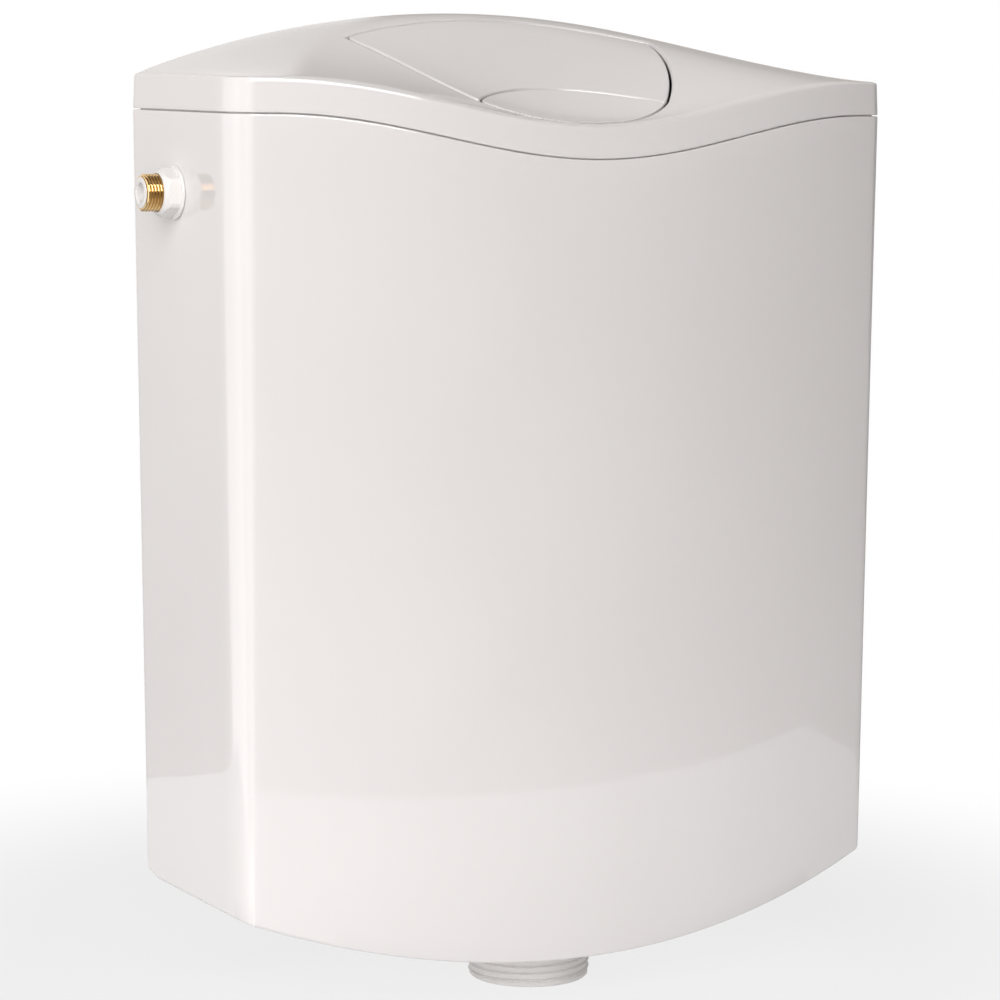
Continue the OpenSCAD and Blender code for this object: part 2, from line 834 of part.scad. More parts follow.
module full_flush_button() {
    color(abs_white) difference() {
        union() {
            intersection() {
                lid_skin(button_t);
                column() difference() {
                    field(button_gap);
                    partial_disc(button_gap / 2);
                }
            }
            intersection() {
                lid_solid(0, button_t / 2, 2 * dip);
                union() {
                    pusher(outlet_y);
                    for (s = [-1, 1]) side_plate(s * full_lug_x, ear_t) polygon([
                        [-hinge_y - 2 * ear_r, hinge_z + skirt_h + crown],
                        [-hinge_y - ear_r, hinge_z - ear_r],
                        [-hinge_y + ear_r, hinge_z - ear_r],
                        [-hinge_y + ear_r / 2, hinge_z + skirt_h + crown]
                    ]);
                }
            }
        }
        bar_x(-hinge_span, -hinge_y, hinge_z, hinge_r + run_gap, 2 * hinge_span);
    }
}

function partial_rear_at(x) = partial_rear + partial_edge_r - sqrt(sq(partial_edge_r) - sq(x));

module partial_flush_button() {
    root_rear = partial_rear_at(partial_arm_x + ear_t / 2) + 2 * button_gap;
    arm_low = rim_z - 2 * ear_r;
    color(abs_white) difference() {
        union() {
            intersection() {
                lid_skin(button_t);
                column() intersection() {
                    field(button_gap);
                    partial_disc(-button_gap / 2);
                }
            }
            intersection() {
                lid_solid(0, button_t / 2, 2 * dip);
                union() {
                    pusher(partial_y);
                    for (s = [-1, 1]) side_plate(s * partial_arm_x, ear_t) polygon([
                        [-hinge_y + ear_r, hinge_z - ear_r],
                        [-hinge_y + ear_r, hinge_z + ear_r],
                        [-hinge_y - ear_r, hinge_z + ear_r],
                        [-root_rear, arm_low + 2 * ear_t],
                        [-root_rear, hinge_z],
                        [-root_rear - 2 * ear_r, hinge_z],
                        [-root_rear - 2 * ear_r, arm_low + ear_t],
                        [-root_rear, arm_low]
                    ]);
                }
            }
        }
        bar_x(-hinge_span, -hinge_y, hinge_z, hinge_r + run_gap, 2 * hinge_span);
    }
}

// The water inlet and the fill valve

module inlet_nipple() {
    color(brass_gold)
        translate([-wall_x - inlet_l, -inlet_y, inlet_z]) rotate([0, 90, 0])
            threaded_tube(inlet_r, inlet_bore_r, pipe_depth, inlet_pitch, 0, inlet_thread_l, pipe_l);
}

module inlet_sleeve() {
    start = -wall_x - inlet_l + sleeve_recess;
    l = pipe_l - sleeve_recess;
    color(abs_white) ring_x(start, -inlet_y, inlet_z, inlet_bore_r - run_gap, sleeve_bore_r, l);
}

// Clamping nut with a coned front and a thin round flange, on the core of a threaded piece
module clamp_nut(x) {
    difference() {
        union() {
            intersection() {
                translate([x - nut_l, -inlet_y, inlet_z]) rotate([0, 90, 0])
                    rotate_extrude() polygon([
                        [0, 0],
                        [nose_r, 0],
                        [nut_r, nose_l],
                        [nut_r, nut_l],
                        [0, nut_l]
                    ]);
                translate([x - nut_l, -inlet_y, inlet_z]) rotate([0, 90, 0])
                    cylinder(r = nut_flats / (2 * cos(30)), h = nut_l, $fn = 6);
            }
            bar_x(x - nut_flange_t, -inlet_y, inlet_z, nut_r, nut_flange_t);
        }
        bar_x(x - nut_l - over, -inlet_y, inlet_z, inlet_core_r + run_gap, nut_l + 2 * over);
    }
}

module inlet_nut() {
    color(abs_white) clamp_nut(-outer_x);
}

module inlet_seal() {
    color(rubber_black)
        ring_x(-inner_x, -inlet_y, inlet_z, wall_flange_r, inlet_core_r + run_gap, seal_t);
}

module fill_valve_body() {
    start = -inner_x + seal_t;
    low = inlet_z - chamber_h / 2;
    guide_z = inlet_z - guide_drop;
    color(pp_grey) difference() {
        union() {
            bar_x(start, -inlet_y, inlet_z, wall_flange_r, valve_t);
            bar_x(start, -inlet_y, inlet_z, shank_r, inner_x - seal_t - head_x);
            bar_z(-head_x, -inlet_y, low, chamber_r, chamber_h);
            translate([-head_x, -inlet_y - lever_w, guide_z - valve_t])
                cube([head_x - float_x + 3 * float_rod_r, 2 * lever_w, valve_t]);
        }
        bar_x(start - over, -inlet_y, inlet_z, sleeve_bore_r, fill_reach);
        bar_z(-head_x, -inlet_y, low + valve_t, chamber_r - valve_t, chamber_h);
        bar_z(-head_x, -inlet_y, low - over, sleeve_bore_r, chamber_h);
        bar_z(-float_x, -inlet_y, guide_z - 2 * valve_t, float_rod_r + slot_gap, 4 * valve_t);
    }
}

module fill_diaphragm() {
    color(rubber_black) bar_z(-head_x, -inlet_y, inlet_z + chamber_h / 2, chamber_r - over, diaphragm_t);
}

module fill_valve_cap() {
    cheek_y = lever_w / 2 + slot_gap + lever_t / 2;
    cap_z = inlet_z + chamber_h / 2 + diaphragm_t;
    color(pp_blue) difference() {
        union() {
            bar_z(-head_x, -inlet_y, cap_z, chamber_r, cap_h - diaphragm_t);
            for (s = [-1, 1])
                translate([-lever_x - 2 * lever_t, -inlet_y + s * cheek_y - lever_t / 2, cap_z])
                    cube([4 * lever_t, lever_t, lever_z - cap_z + 2 * lever_pin_r]);
        }
        bar_y(-lever_x, -inlet_y - 2 * lever_w, lever_z, lever_pin_r + run_gap, 4 * lever_w);
    }
}

module lever_pin() {
    half = lever_w / 2 + slot_gap + lever_t + over;
    color(steel_grey) bar_y(-lever_x, -inlet_y - half, lever_z, lever_pin_r, 2 * half);
}

module fill_tube() {
    top = inlet_z - chamber_h / 2;
    color(pp_grey)
        ring_z(-head_x, -inlet_y, top - fill_tube_l, sleeve_bore_r + bell_t, sleeve_bore_r, fill_tube_l);
}

module float_lever() {
    tip = lever_l + 4 * float_rod_r;
    color(pp_blue) difference() {
        union() {
            bar_y(-lever_x, -inlet_y - lever_w / 2, lever_z, 2 * lever_pin_r, lever_w);
            front_plate(-inlet_y, lever_w) translate([-lever_x, lever_z])
                translate([-lever_tail, -lever_t / 2]) square([lever_tail + tip, lever_t]);
        }
        bar_y(-lever_x, -inlet_y - lever_w, lever_z, lever_pin_r + run_gap, 2 * lever_w);
        translate([-float_x - 3 * float_rod_r, -inlet_y - float_rod_r - slot_gap, lever_z - lever_t])
            cube([tip, 2 * (float_rod_r + slot_gap), 2 * lever_t]);
    }
}

module float_rod() {
    color(steel_grey)
        bar_z(-float_x, -inlet_y, float_top, float_rod_r, lever_z + 4 * head_r - float_top);
}

module rod_nuts() {
    off = lever_t / 2 + head_r + play;
    color(pp_grey) for (s = [-1, 1]) difference() {
        bar_y(-float_x, -inlet_y - lever_w / 2, lever_z + s * off, head_r, lever_w);
        bar_z(-float_x, -inlet_y, lever_z - 4 * head_r, float_rod_r, 8 * head_r);
    }
}

module fill_float() {
    low = float_top - float_h;
    color(pp_grey) difference() {
        bar_z(-float_x, -inlet_y, low, float_r, float_h);
        bar_z(-float_x, -inlet_y, low - over, float_r - bell_t, float_h - bell_t);
    }
}

// The blanked inlet on the right

module side_plug() {
    start = inner_x - seal_t - nut_l;
    color(abs_white) {
        bar_x(outer_x, -inlet_y, inlet_z, nut_r, nut_flange_t);
        bar_x(start, -inlet_y, inlet_z, inlet_core_r, outer_x - start + over);
    }
}

module side_plug_seal() {
    color(rubber_black)
        ring_x(inner_x - seal_t, -inlet_y, inlet_z, wall_flange_r, inlet_core_r + run_gap, seal_t);
}

module side_plug_nut() {
    color(abs_white) clamp_nut(inner_x - seal_t);
}

tank_shell();
insulation_liner();
outlet_gasket();
valve_seat();
outlet_locknut();
valve_basket();
bearing_bracket();
bracket_screws();
rocker_pin();
inlet_nipple();
inlet_sleeve();
inlet_nut();
inlet_seal();
fill_valve_body();
fill_valve_cap();
fill_diaphragm();
fill_tube();
lever_pin();
side_plug();
side_plug_nut();
side_plug_seal();
lid();
button_hinge_rod();
full_flush_button();
partial_flush_button();
full_rocker();
partial_rocker();
overflow_tube();
seal_washer();
full_lift_rod();
partial_float();
partial_lift_rod();
fill_float();
float_rod();
rod_nuts();
float_lever();
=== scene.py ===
"""Wall-hung toilet cistern with two flush buttons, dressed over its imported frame.

Lengths are millimetres, as in the frame's own drawing, and become metres where a mesh is made.
The origin lies midway between the wall fixings on the rear face: +X is right, +Y runs into the
wall and +Z is up.
"""

import json
import logging
import math
from collections.abc import Callable, Iterator, Sequence
from contextlib import contextmanager
from dataclasses import dataclass, field
from enum import Enum

import bpy
from mathutils import Matrix, Vector


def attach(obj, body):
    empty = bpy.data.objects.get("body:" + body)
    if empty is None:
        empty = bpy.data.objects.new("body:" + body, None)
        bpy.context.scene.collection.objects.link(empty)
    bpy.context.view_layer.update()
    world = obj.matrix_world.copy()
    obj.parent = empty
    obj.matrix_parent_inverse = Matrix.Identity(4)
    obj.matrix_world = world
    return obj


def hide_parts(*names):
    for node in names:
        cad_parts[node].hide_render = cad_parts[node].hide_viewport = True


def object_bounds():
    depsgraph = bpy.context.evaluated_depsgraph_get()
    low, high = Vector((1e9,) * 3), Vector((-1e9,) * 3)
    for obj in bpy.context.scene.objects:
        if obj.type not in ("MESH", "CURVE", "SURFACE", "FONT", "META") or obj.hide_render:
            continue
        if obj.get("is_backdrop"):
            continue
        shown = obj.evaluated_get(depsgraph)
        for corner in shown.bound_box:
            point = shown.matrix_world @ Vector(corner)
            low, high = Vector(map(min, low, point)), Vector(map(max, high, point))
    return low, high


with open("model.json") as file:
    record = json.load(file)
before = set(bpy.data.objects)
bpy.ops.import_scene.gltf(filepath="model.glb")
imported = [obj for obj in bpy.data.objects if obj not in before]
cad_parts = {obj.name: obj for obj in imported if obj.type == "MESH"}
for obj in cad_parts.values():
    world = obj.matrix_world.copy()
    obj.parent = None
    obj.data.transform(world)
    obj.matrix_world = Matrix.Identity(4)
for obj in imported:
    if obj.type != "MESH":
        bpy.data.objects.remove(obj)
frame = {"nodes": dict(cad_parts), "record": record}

LOG = logging.getLogger("cistern")
CAD_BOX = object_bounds()
MM = 0.001
MERGE = 1e-6
NOISE_SPAN = (0.3, 0.7)
ROUND_MID = 0.3
TURN_STEPS = 40
RISE = (0.0, 1.0)
FALL = (1.0, 0.0)

Point = tuple[float, float, float]
Flat = tuple[float, float]
Ring = list[Point]
Edge = Sequence[Flat]
Radius = Callable[[float], float]
Piece = bpy.types.Object
Tree = bpy.types.NodeTree
Node = bpy.types.Node
Socket = bpy.types.NodeSocket


def lerp(a: float, b: float, share: float) -> float:
    """Value that lies a share of the way from a to b."""
    return a + (b - a) * share


def between(a: Flat, b: Flat, share: float) -> Flat:
    """Flat point that lies a share of the way from a to b."""
    return lerp(a[0], b[0], share), lerp(a[1], b[1], share)


def rounded(start: Flat, corner: Flat, end: Flat, share: float) -> Flat:
    """Point of the curve that rounds a corner between two points."""
    return between(between(start, corner, share), between(corner, end, share), share)


def clamp(value: float, low: float = 0.0, high: float = 1.0) -> float:
    """Value held between two limits."""
    return max(low, min(high, value))


def soft_min(a: float, b: float, blend: float) -> float:
    """Smaller of two values, with their crossing rounded over a length."""
    share = clamp(0.5 + 0.5 * (b - a) / blend)
    return lerp(b, a, share) - blend * share * (1.0 - share)


def smooth(share: float) -> float:
    """Share that is eased at both of its ends."""
    return share * share * (3 - 2 * share)


def edge_drop(distance: float, radius: float) -> float:
    """Drop of a rounded edge below its face, at a distance inside its wall."""
    off = clamp(radius - distance, 0.0, radius)
    return radius - math.sqrt(radius**2 - off**2)


def steps(count: int, first: int = 0) -> list[float]:
    """Shares from first / count up to 1."""
    return [i / count for i in range(first, count + 1)]


def quarter(radius: float, count: int) -> list[Flat]:
    """Inset and drop of a rounded edge, from its wall to its top face.

    Args:
        radius: Radius of the edge.
        count: Number of steps round the edge.

    Returns:
        Pairs of inset from the wall and drop below the face.
    """
    angles = [share * math.pi / 2 for share in steps(count)]
    return [(radius * (1 - math.cos(a)), radius * (1 - math.sin(a))) for a in angles]


def circle_cross(c0: Flat, r0: float, c1: Flat, r1: float) -> tuple[Flat, Flat]:
    """Two points where two circles cross.

    Args:
        c0: Centre of the first circle.
        r0: Radius of the first circle.
        c1: Centre of the second circle.
        r1: Radius of the second circle.

    Returns:
        The two crossings, the one to the left of the line of centres first.
    """
    dx, dy = c1[0] - c0[0], c1[1] - c0[1]
    gap = math.hypot(dx, dy)
    along = (r0 * r0 - r1 * r1 + gap * gap) / (2 * gap)
    off = math.sqrt(r0 * r0 - along * along)
    foot = (c0[0] + along * dx / gap, c0[1] + along * dy / gap)
    side = (-dy * off / gap, dx * off / gap)
    return (foot[0] + side[0], foot[1] + side[1]), (foot[0] - side[0], foot[1] - side[1])


def deselect() -> None:
    """Clear the selection, which the frame's nodes are left in."""
    bpy.ops.object.select_all(action="DESELECT")


@contextmanager
def editing(piece: Piece) -> Iterator[None]:
    """Hold one piece in edit mode with all of its mesh selected.

    Args:
        piece: Mesh object to edit.
    """
    deselect()
    piece.select_set(True)
    bpy.context.view_layer.objects.active = piece
    bpy.ops.object.mode_set(mode="EDIT")
    bpy.ops.mesh.select_all(action="SELECT")
    yield
    bpy.ops.object.mode_set(mode="OBJECT")


def named(name: str) -> Piece:
    """Give the new primitive and its mesh a name.

    Args:
        name: Name of the piece.

    Returns:
        The primitive's object.
    """
    piece = bpy.context.object
    piece.name = name
    piece.data.name = name
    return piece


def close(piece: Piece, sharp: float = 32.0) -> None:
    """Merge a piece's seams, turn its faces outwards and smooth all but its sharp edges.

    Args:
        piece: Mesh object to finish.
        sharp: Angle in degrees above which an edge stays sharp.
    """
    with editing(piece):
        bpy.ops.mesh.remove_doubles(threshold=MERGE)
        bpy.ops.mesh.normals_make_consistent(inside=False)
    bpy.ops.object.shade_smooth_by_angle(angle=math.radians(sharp))


def apply_modifier(piece: Piece, kind: str, **settings: object) -> None:
    """Add a modifier to a piece and apply it.

    Args:
        piece: Mesh object to change.
        kind: Type of the modifier.
        **settings: Values of the modifier's own properties.
    """
    deselect()
    piece.select_set(True)
    bpy.context.view_layer.objects.active = piece
    modifier = piece.modifiers.new(kind.lower(), kind)
    for key, value in settings.items():
        setattr(modifier, key, value)
    bpy.ops.object.modifier_apply(modifier=modifier.name)


def combine(piece: Piece, tool: Piece, operation: str) -> None:
    """Add a tool's volume to a piece or take it away, and remove the tool.

    Args:
        piece: Mesh object to change.
        tool: Closed mesh object to combine it with.
        operation: UNION, DIFFERENCE or INTERSECT.
    """
    apply_modifier(piece, "BOOLEAN", object=tool, operation=operation, solver="EXACT")
    bpy.data.objects.remove(tool, do_unlink=True)


def joined(pieces: Sequence[Piece]) -> Piece:
    """Join meshes into the first of them.

    Args:
        pieces: Mesh objects, of which the first is kept.

    Returns:
        The first object.
    """
    deselect()
    for piece in pieces:
        piece.select_set(True)
    bpy.context.view_layer.objects.active = pieces[0]
    bpy.ops.object.join()
    return pieces[0]


def ring_piece(name: str, rings: Sequence[Ring]) -> Piece:
    """Close a grid primitive into a shell that runs through rings of points.

    Args:
        name: Name of the piece.
        rings: Rings of equal length. The last one joins the first.

    Returns:
        The finished mesh object.
    """
    columns = len(rings[0])
    rows = len(rings)
    deselect()
    bpy.ops.mesh.primitive_grid_add(x_subdivisions=columns, y_subdivisions=rows, size=2.0)
    piece = named(name)
    places = [
        value * MM
        for row in range(rows + 1)
        for column in range(columns + 1)
        for value in rings[row % rows][column % columns]
    ]
    piece.data.vertices.foreach_set("co", places)
    close(piece)
    return piece


def prism(name: str, outline: Edge, start: float, length: float, bevel: float) -> Piece:
    """Plate across X with an outline in Y and Z.

    Args:
        name: Name of the piece.
        outline: Corners as pairs of Y and Z.
        start: X of its left face.
        length: Thickness along X.
        bevel: Width of its edges' bevel.

    Returns:
        The finished mesh object.
    """
    deselect()
    bpy.ops.mesh.primitive_circle_add(vertices=len(outline), fill_type="NGON")
    piece = named(name)
    for vertex, (y, z) in zip(piece.data.vertices, outline):
        vertex.co = (start * MM, y * MM, z * MM)
    with editing(piece):
        bpy.ops.mesh.extrude_region_move(TRANSFORM_OT_translate={"value": (length * MM, 0.0, 0.0)})
    close(piece)
    apply_modifier(piece, "BEVEL", width=bevel * MM, segments=2, limit_method="ANGLE")
    return piece


class Axis(Enum):
    """Direction that a round piece runs in."""

    X = "x"
    Y = "y"
    Z = "z"


@dataclass(frozen=True)
class Spindle:
    """Line that a round piece is turned on."""

    axis: Axis
    across: Flat

    def point(self, along: float, radius: float, angle: float) -> Point:
        """Point at a place along the line, a radius from it and an angle round it.

        Args:
            along: Place along the line.
            radius: Distance from it.
            angle: Angle round it.

        Returns:
            The point.
        """
        a = self.across[0] + radius * math.cos(angle)
        b = self.across[1] + radius * math.sin(angle)
        return {Axis.X: (along, a, b), Axis.Y: (b, along, a), Axis.Z: (a, b, along)}[self.axis]

    def ring(self, along: float, radius: float | Radius, columns: int) -> Ring:
        """Ring of points round the line.

        Args:
            along: Place along the line.
            radius: Radius, or a function that gives it for an angle.
            columns: Number of points.

        Returns:
            The ring.
        """
        turn = [2 * math.pi * i / columns for i in range(columns)]
        return [self.point(along, radius(a) if callable(radius) else radius, a) for a in turn]

    def turned(self, name: str, profile: Edge, columns: int = 96) -> Piece:
        """Piece that is turned from a closed profile.

        Args:
            name: Name of the piece.
            profile: Pairs of place along the line and radius.
            columns: Number of points round it.

        Returns:
            The finished mesh object.
        """
        return ring_piece(name, [self.ring(along, radius, columns) for along, radius in profile])

    def bar(self, name: str, start: float, end: float, radius: float, columns: int = 48) -> Piece:
        """Solid round bar, for cutting a hole or adding a boss.

        Args:
            name: Name of the bar.
            start: Place of its first end along the line.
            end: Place of its other end.
            radius: Radius of the bar.
            columns: Number of points round it.

        Returns:
            The finished mesh object.
        """
        deselect()
        bpy.ops.mesh.primitive_cylinder_add(vertices=columns, radius=radius * MM, depth=(end - start) * MM)
        piece = named(name)
        turn = {Axis.X: (0.0, math.pi / 2, 0.0), Axis.Y: (math.pi / 2, 0.0, 0.0), Axis.Z: (0.0, 0.0, 0.0)}
        piece.rotation_euler = turn[self.axis]
        piece.location = Vector(self.point((start + end) / 2, 0.0, 0.0)) * MM
        bpy.ops.object.transform_apply(location=True, rotation=True, scale=True)
        return piece


@dataclass(frozen=True)
class Thread:
    """Helical thread on a spindle."""

    crest_r: float
    core_r: float
    pitch: float
    start: float
    end: float
    sharpness: float
    runout: float
    turn: float = 0.0

    def radius(self, along: float) -> Radius:
        """Radius round the spindle at a place along it.

        Args:
            along: Place along the spindle.

        Returns:
            Function that gives the radius for an angle.
        """
        fade = clamp(min(along - self.start, self.end - along) / self.runout)

        def at(angle: float) -> float:
            """Radius at an angle round the spindle.

            Args:
                angle: Angle in radians.

            Returns:
                The radius.
            """
            phase = (along - self.start) / self.pitch - angle / (2 * math.pi) + self.turn
            ridge = (0.5 + 0.5 * math.cos(2 * math.pi * phase)) ** self.sharpness
            return self.core_r + (self.crest_r - self.core_r) * ridge * fade

        return at

    def rings(self, spindle: Spindle, columns: int, per_turn: int) -> list[Ring]:
        """Rings of points along the thread.

        Args:
            spindle: Line that the thread runs round.
            columns: Number of points in a ring.
            per_turn: Number of rings in one turn.

        Returns:
            Rings from the thread's start to its end.
        """
        count = round((self.end - self.start) / self.pitch * per_turn)
        places = [lerp(self.start, self.end, share) for share in steps(count)]
        return [spindle.ring(along, self.radius(along), columns) for along in places]


@dataclass(frozen=True)
class Stations:
    """Numbers of points along the stretches of half an outline, from its rear to its front."""

    rear: int = 24
    turn: int = 5
    heel: int = 4
    side: int = 16
    corner: int = 24
    bow: int = 44

    @property
    def half(self) -> int:
        """Number of steps from the middle of the rear to the middle of the front."""
        return self.rear + self.turn + self.heel + self.side + self.corner + self.bow

    def find(self, column: int) -> tuple[int, str, float]:
        """Stretch that a column of the whole outline lies on.

        Args:
            column: Number of the column, from the middle of the rear and round by the right.

        Returns:
            Side of the outline, 1 or -1, the stretch's name and the share of it that is passed.
        """
        hand = 1 if column <= self.half else -1
        left = column if hand == 1 else 2 * self.half - column
        for name in ("rear", "turn", "heel", "side", "corner"):
            count = getattr(self, name)
            if left <= count:
                return hand, name, left / count
            left -= count
        return hand, "bow", left / self.bow


@dataclass(frozen=True)
class BodyForm:
    """Outer form that the tank, the lid and the buttons share."""

    width: float = 425.0
    side_depth: float = 142.0
    bow: float = 26.0
    rim_z: float = 70.0
    wall_height: float = 444.0
    foot_sag: float = 38.3
    draft: float = 5.0
    corner_side: float = 27.0
    corner_front: Flat = (11.0, 6.0)
    corner_shrink: float = 0.78
    least_corner: float = 0.6
    rear_r: float = 1.6
    least_rear_r: float = 0.4
    dip: float = 25.0
    dip_length: float = 384.0
    rear_rise: float = 2.4
    heel_depth: float = 15.0
    heel_height: float = 3.3
    least_heel: float = 1.0
    skirt: float = 20.0
    crown: float = 38.0
    end_slope: float = 1.65
    lid_edge_w: Flat = (6.0, 4.0)
    lid_edge_fall: float = 0.2
    lid_edge_r: float = 0.8
    lid_edge_blend: Flat = (150.0, 205.0)
    lid_rear_edge_r: float = 1.0
    stations: Stations = Stations()

    @property
    def half(self) -> float:
        """Half of the width."""
        return self.width / 2

    @property
    def depth(self) -> float:
        """Depth in the middle of the front."""
        return self.side_depth + self.bow

    @property
    def bow_r(self) -> float:
        """Radius of the front's bow, seen from above."""
        return (self.half**2 + self.bow**2) / (2 * self.bow)

    @property
    def columns(self) -> int:
        """Number of points round the whole outline."""
        return 2 * self.stations.half

    def outline(self, column: int, z: float, inset: float) -> Flat:
        """Point of the outline at a height.

        Args:
            column: Number of the column, from the middle of the rear and round by the right.
            z: Height, which sets how far the walls lean in.
            inset: Distance inside the outer wall.

        Returns:
            X and Y of the point.
        """
        hand, stretch, share = self.stations.find(column)
        down = (self.rim_z - z) / self.wall_height
        lean = self.draft * down
        half = self.half - lean - inset
        bow_r = self.bow_r - inset
        bow_y = bow_r - (self.depth - lean - inset)
        rear_r = max(self.rear_r - inset, self.least_rear_r)
        shrink = self.corner_shrink * inset
        side_leg = max(self.corner_side - shrink, self.least_corner)
        front_leg = max(lerp(*self.corner_front, down) - shrink, self.least_corner)
        corner = (half, bow_y - math.sqrt(bow_r**2 - half**2))
        side_end = (half, corner[1] + side_leg)
        front_x = half - front_leg * math.cos(math.asin(half / bow_r))
        front_end = (front_x, bow_y - math.sqrt(bow_r**2 - front_x**2))
        heel_y = -max(self.heel_depth, inset + rear_r + self.least_heel)
        if stretch == "rear":
            x, y = (half - rear_r) * share, -inset
        elif stretch == "turn":
            angle = (1 - share) * math.pi / 2
            x, y = half - rear_r + rear_r * math.cos(angle), -inset - rear_r + rear_r * math.sin(angle)
        elif stretch == "heel":
            x, y = half, lerp(-inset - rear_r, heel_y, share)
        elif stretch == "side":
            x, y = half, lerp(heel_y, side_end[1], share)
        elif stretch == "corner":
            x, y = rounded(side_end, corner, front_end, share)
        else:
            x = front_x * (1 - share)
            y = bow_y - math.sqrt(bow_r**2 - x**2)
        return hand * x, y

    def front_y(self, x: float) -> float:
        """Y of the front at the rim."""
        return -self.depth + self.bow_r - math.sqrt(self.bow_r**2 - min(abs(x), self.half) ** 2)

    def dip_share(self, x: float) -> float:
        """Depth of the front rim's dip as a share of its deepest."""
        return (1 + math.cos(math.pi * min(1.0, abs(x) / (self.dip_length / 2)))) / 2

    def front_rim(self, x: float) -> float:
        """Height of the front rim."""
        return self.rim_z - self.dip * self.dip_share(x)

    def rim(self, x: float, y: float) -> float:
        """Height of the rim, which runs straight from the rear to the front."""
        return lerp(self.rim_z + self.rear_rise, self.front_rim(x), clamp(y / self.front_y(x)))

    def foot(self, x: float, y: float) -> float:
        """Height of the underside, with its raised rear edge.

        Args:
            x: Place across the object.
            y: Place from its rear to its front.

        Returns:
            Height of the point.
        """
        reach = min(1.0, abs(x) / (self.half - self.draft))
        low = self.rim_z - self.wall_height - self.foot_sag * (1 - reach**2)
        return low + self.heel_height * clamp(1 + y / self.heel_depth)

    def crown_z(self, x: float) -> float:
        """Height of the lid's arch along the rear.

        Args:
            x: Place across the object.

        Returns:
            Height of the arch.
        """
        arch_r = (self.half**2 + self.crown**2) / (2 * self.crown)
        top = self.rim_z + self.rear_rise + self.skirt + self.crown
        return top - arch_r + math.sqrt(arch_r**2 - min(abs(x), self.half) ** 2)

    def lid_face(self, x: float, y: float) -> float:
        """Height of the lid's face, before its edge is rounded.

        Args:
            x: Place across the object.
            y: Place from its rear to its front.

        Returns:
            Height of the face.
        """
        rear = self.crown_z(x)
        t = clamp(y / self.front_y(x))
        share = self.dip_share(x)
        fall = lerp(t**self.end_slope, smooth(t), share)
        return rear + (self.front_rim(x) + self.skirt - rear) * fall

    def under_face(self, x: float, y: float, down: float) -> Flat:
        """Y and Z of a point at a distance below the lid's face."""
        return y, self.lid_face(x, y) - down

    def lid_top(self, column: int, x: float, y: float, inset: float) -> float:
        """Height of the lid's outer face with its rounded edge.

        Args:
            column: Number of the outline's column that the point lies on.
            x: Place across the lid.
            y: Place from its rear to its front.
            inset: Distance of the column's point inside the top of the skirt.

        Returns:
            Height of the face.
        """
        start, end = self.lid_edge_blend
        blend = clamp((abs(x) - start) / (end - start))
        width = lerp(*self.lid_edge_w, smooth(blend))
        _, stretch, _ = self.stations.find(column)
        distance = max(inset, self.half - abs(x) - width) if stretch in ("rear", "turn") else inset
        fall = self.lid_edge_fall * width * clamp(1 - distance / width) ** 2
        rounds = edge_drop(distance, self.lid_edge_r) + edge_drop(-y, self.lid_rear_edge_r)
        return self.lid_face(x, y) - fall - rounds


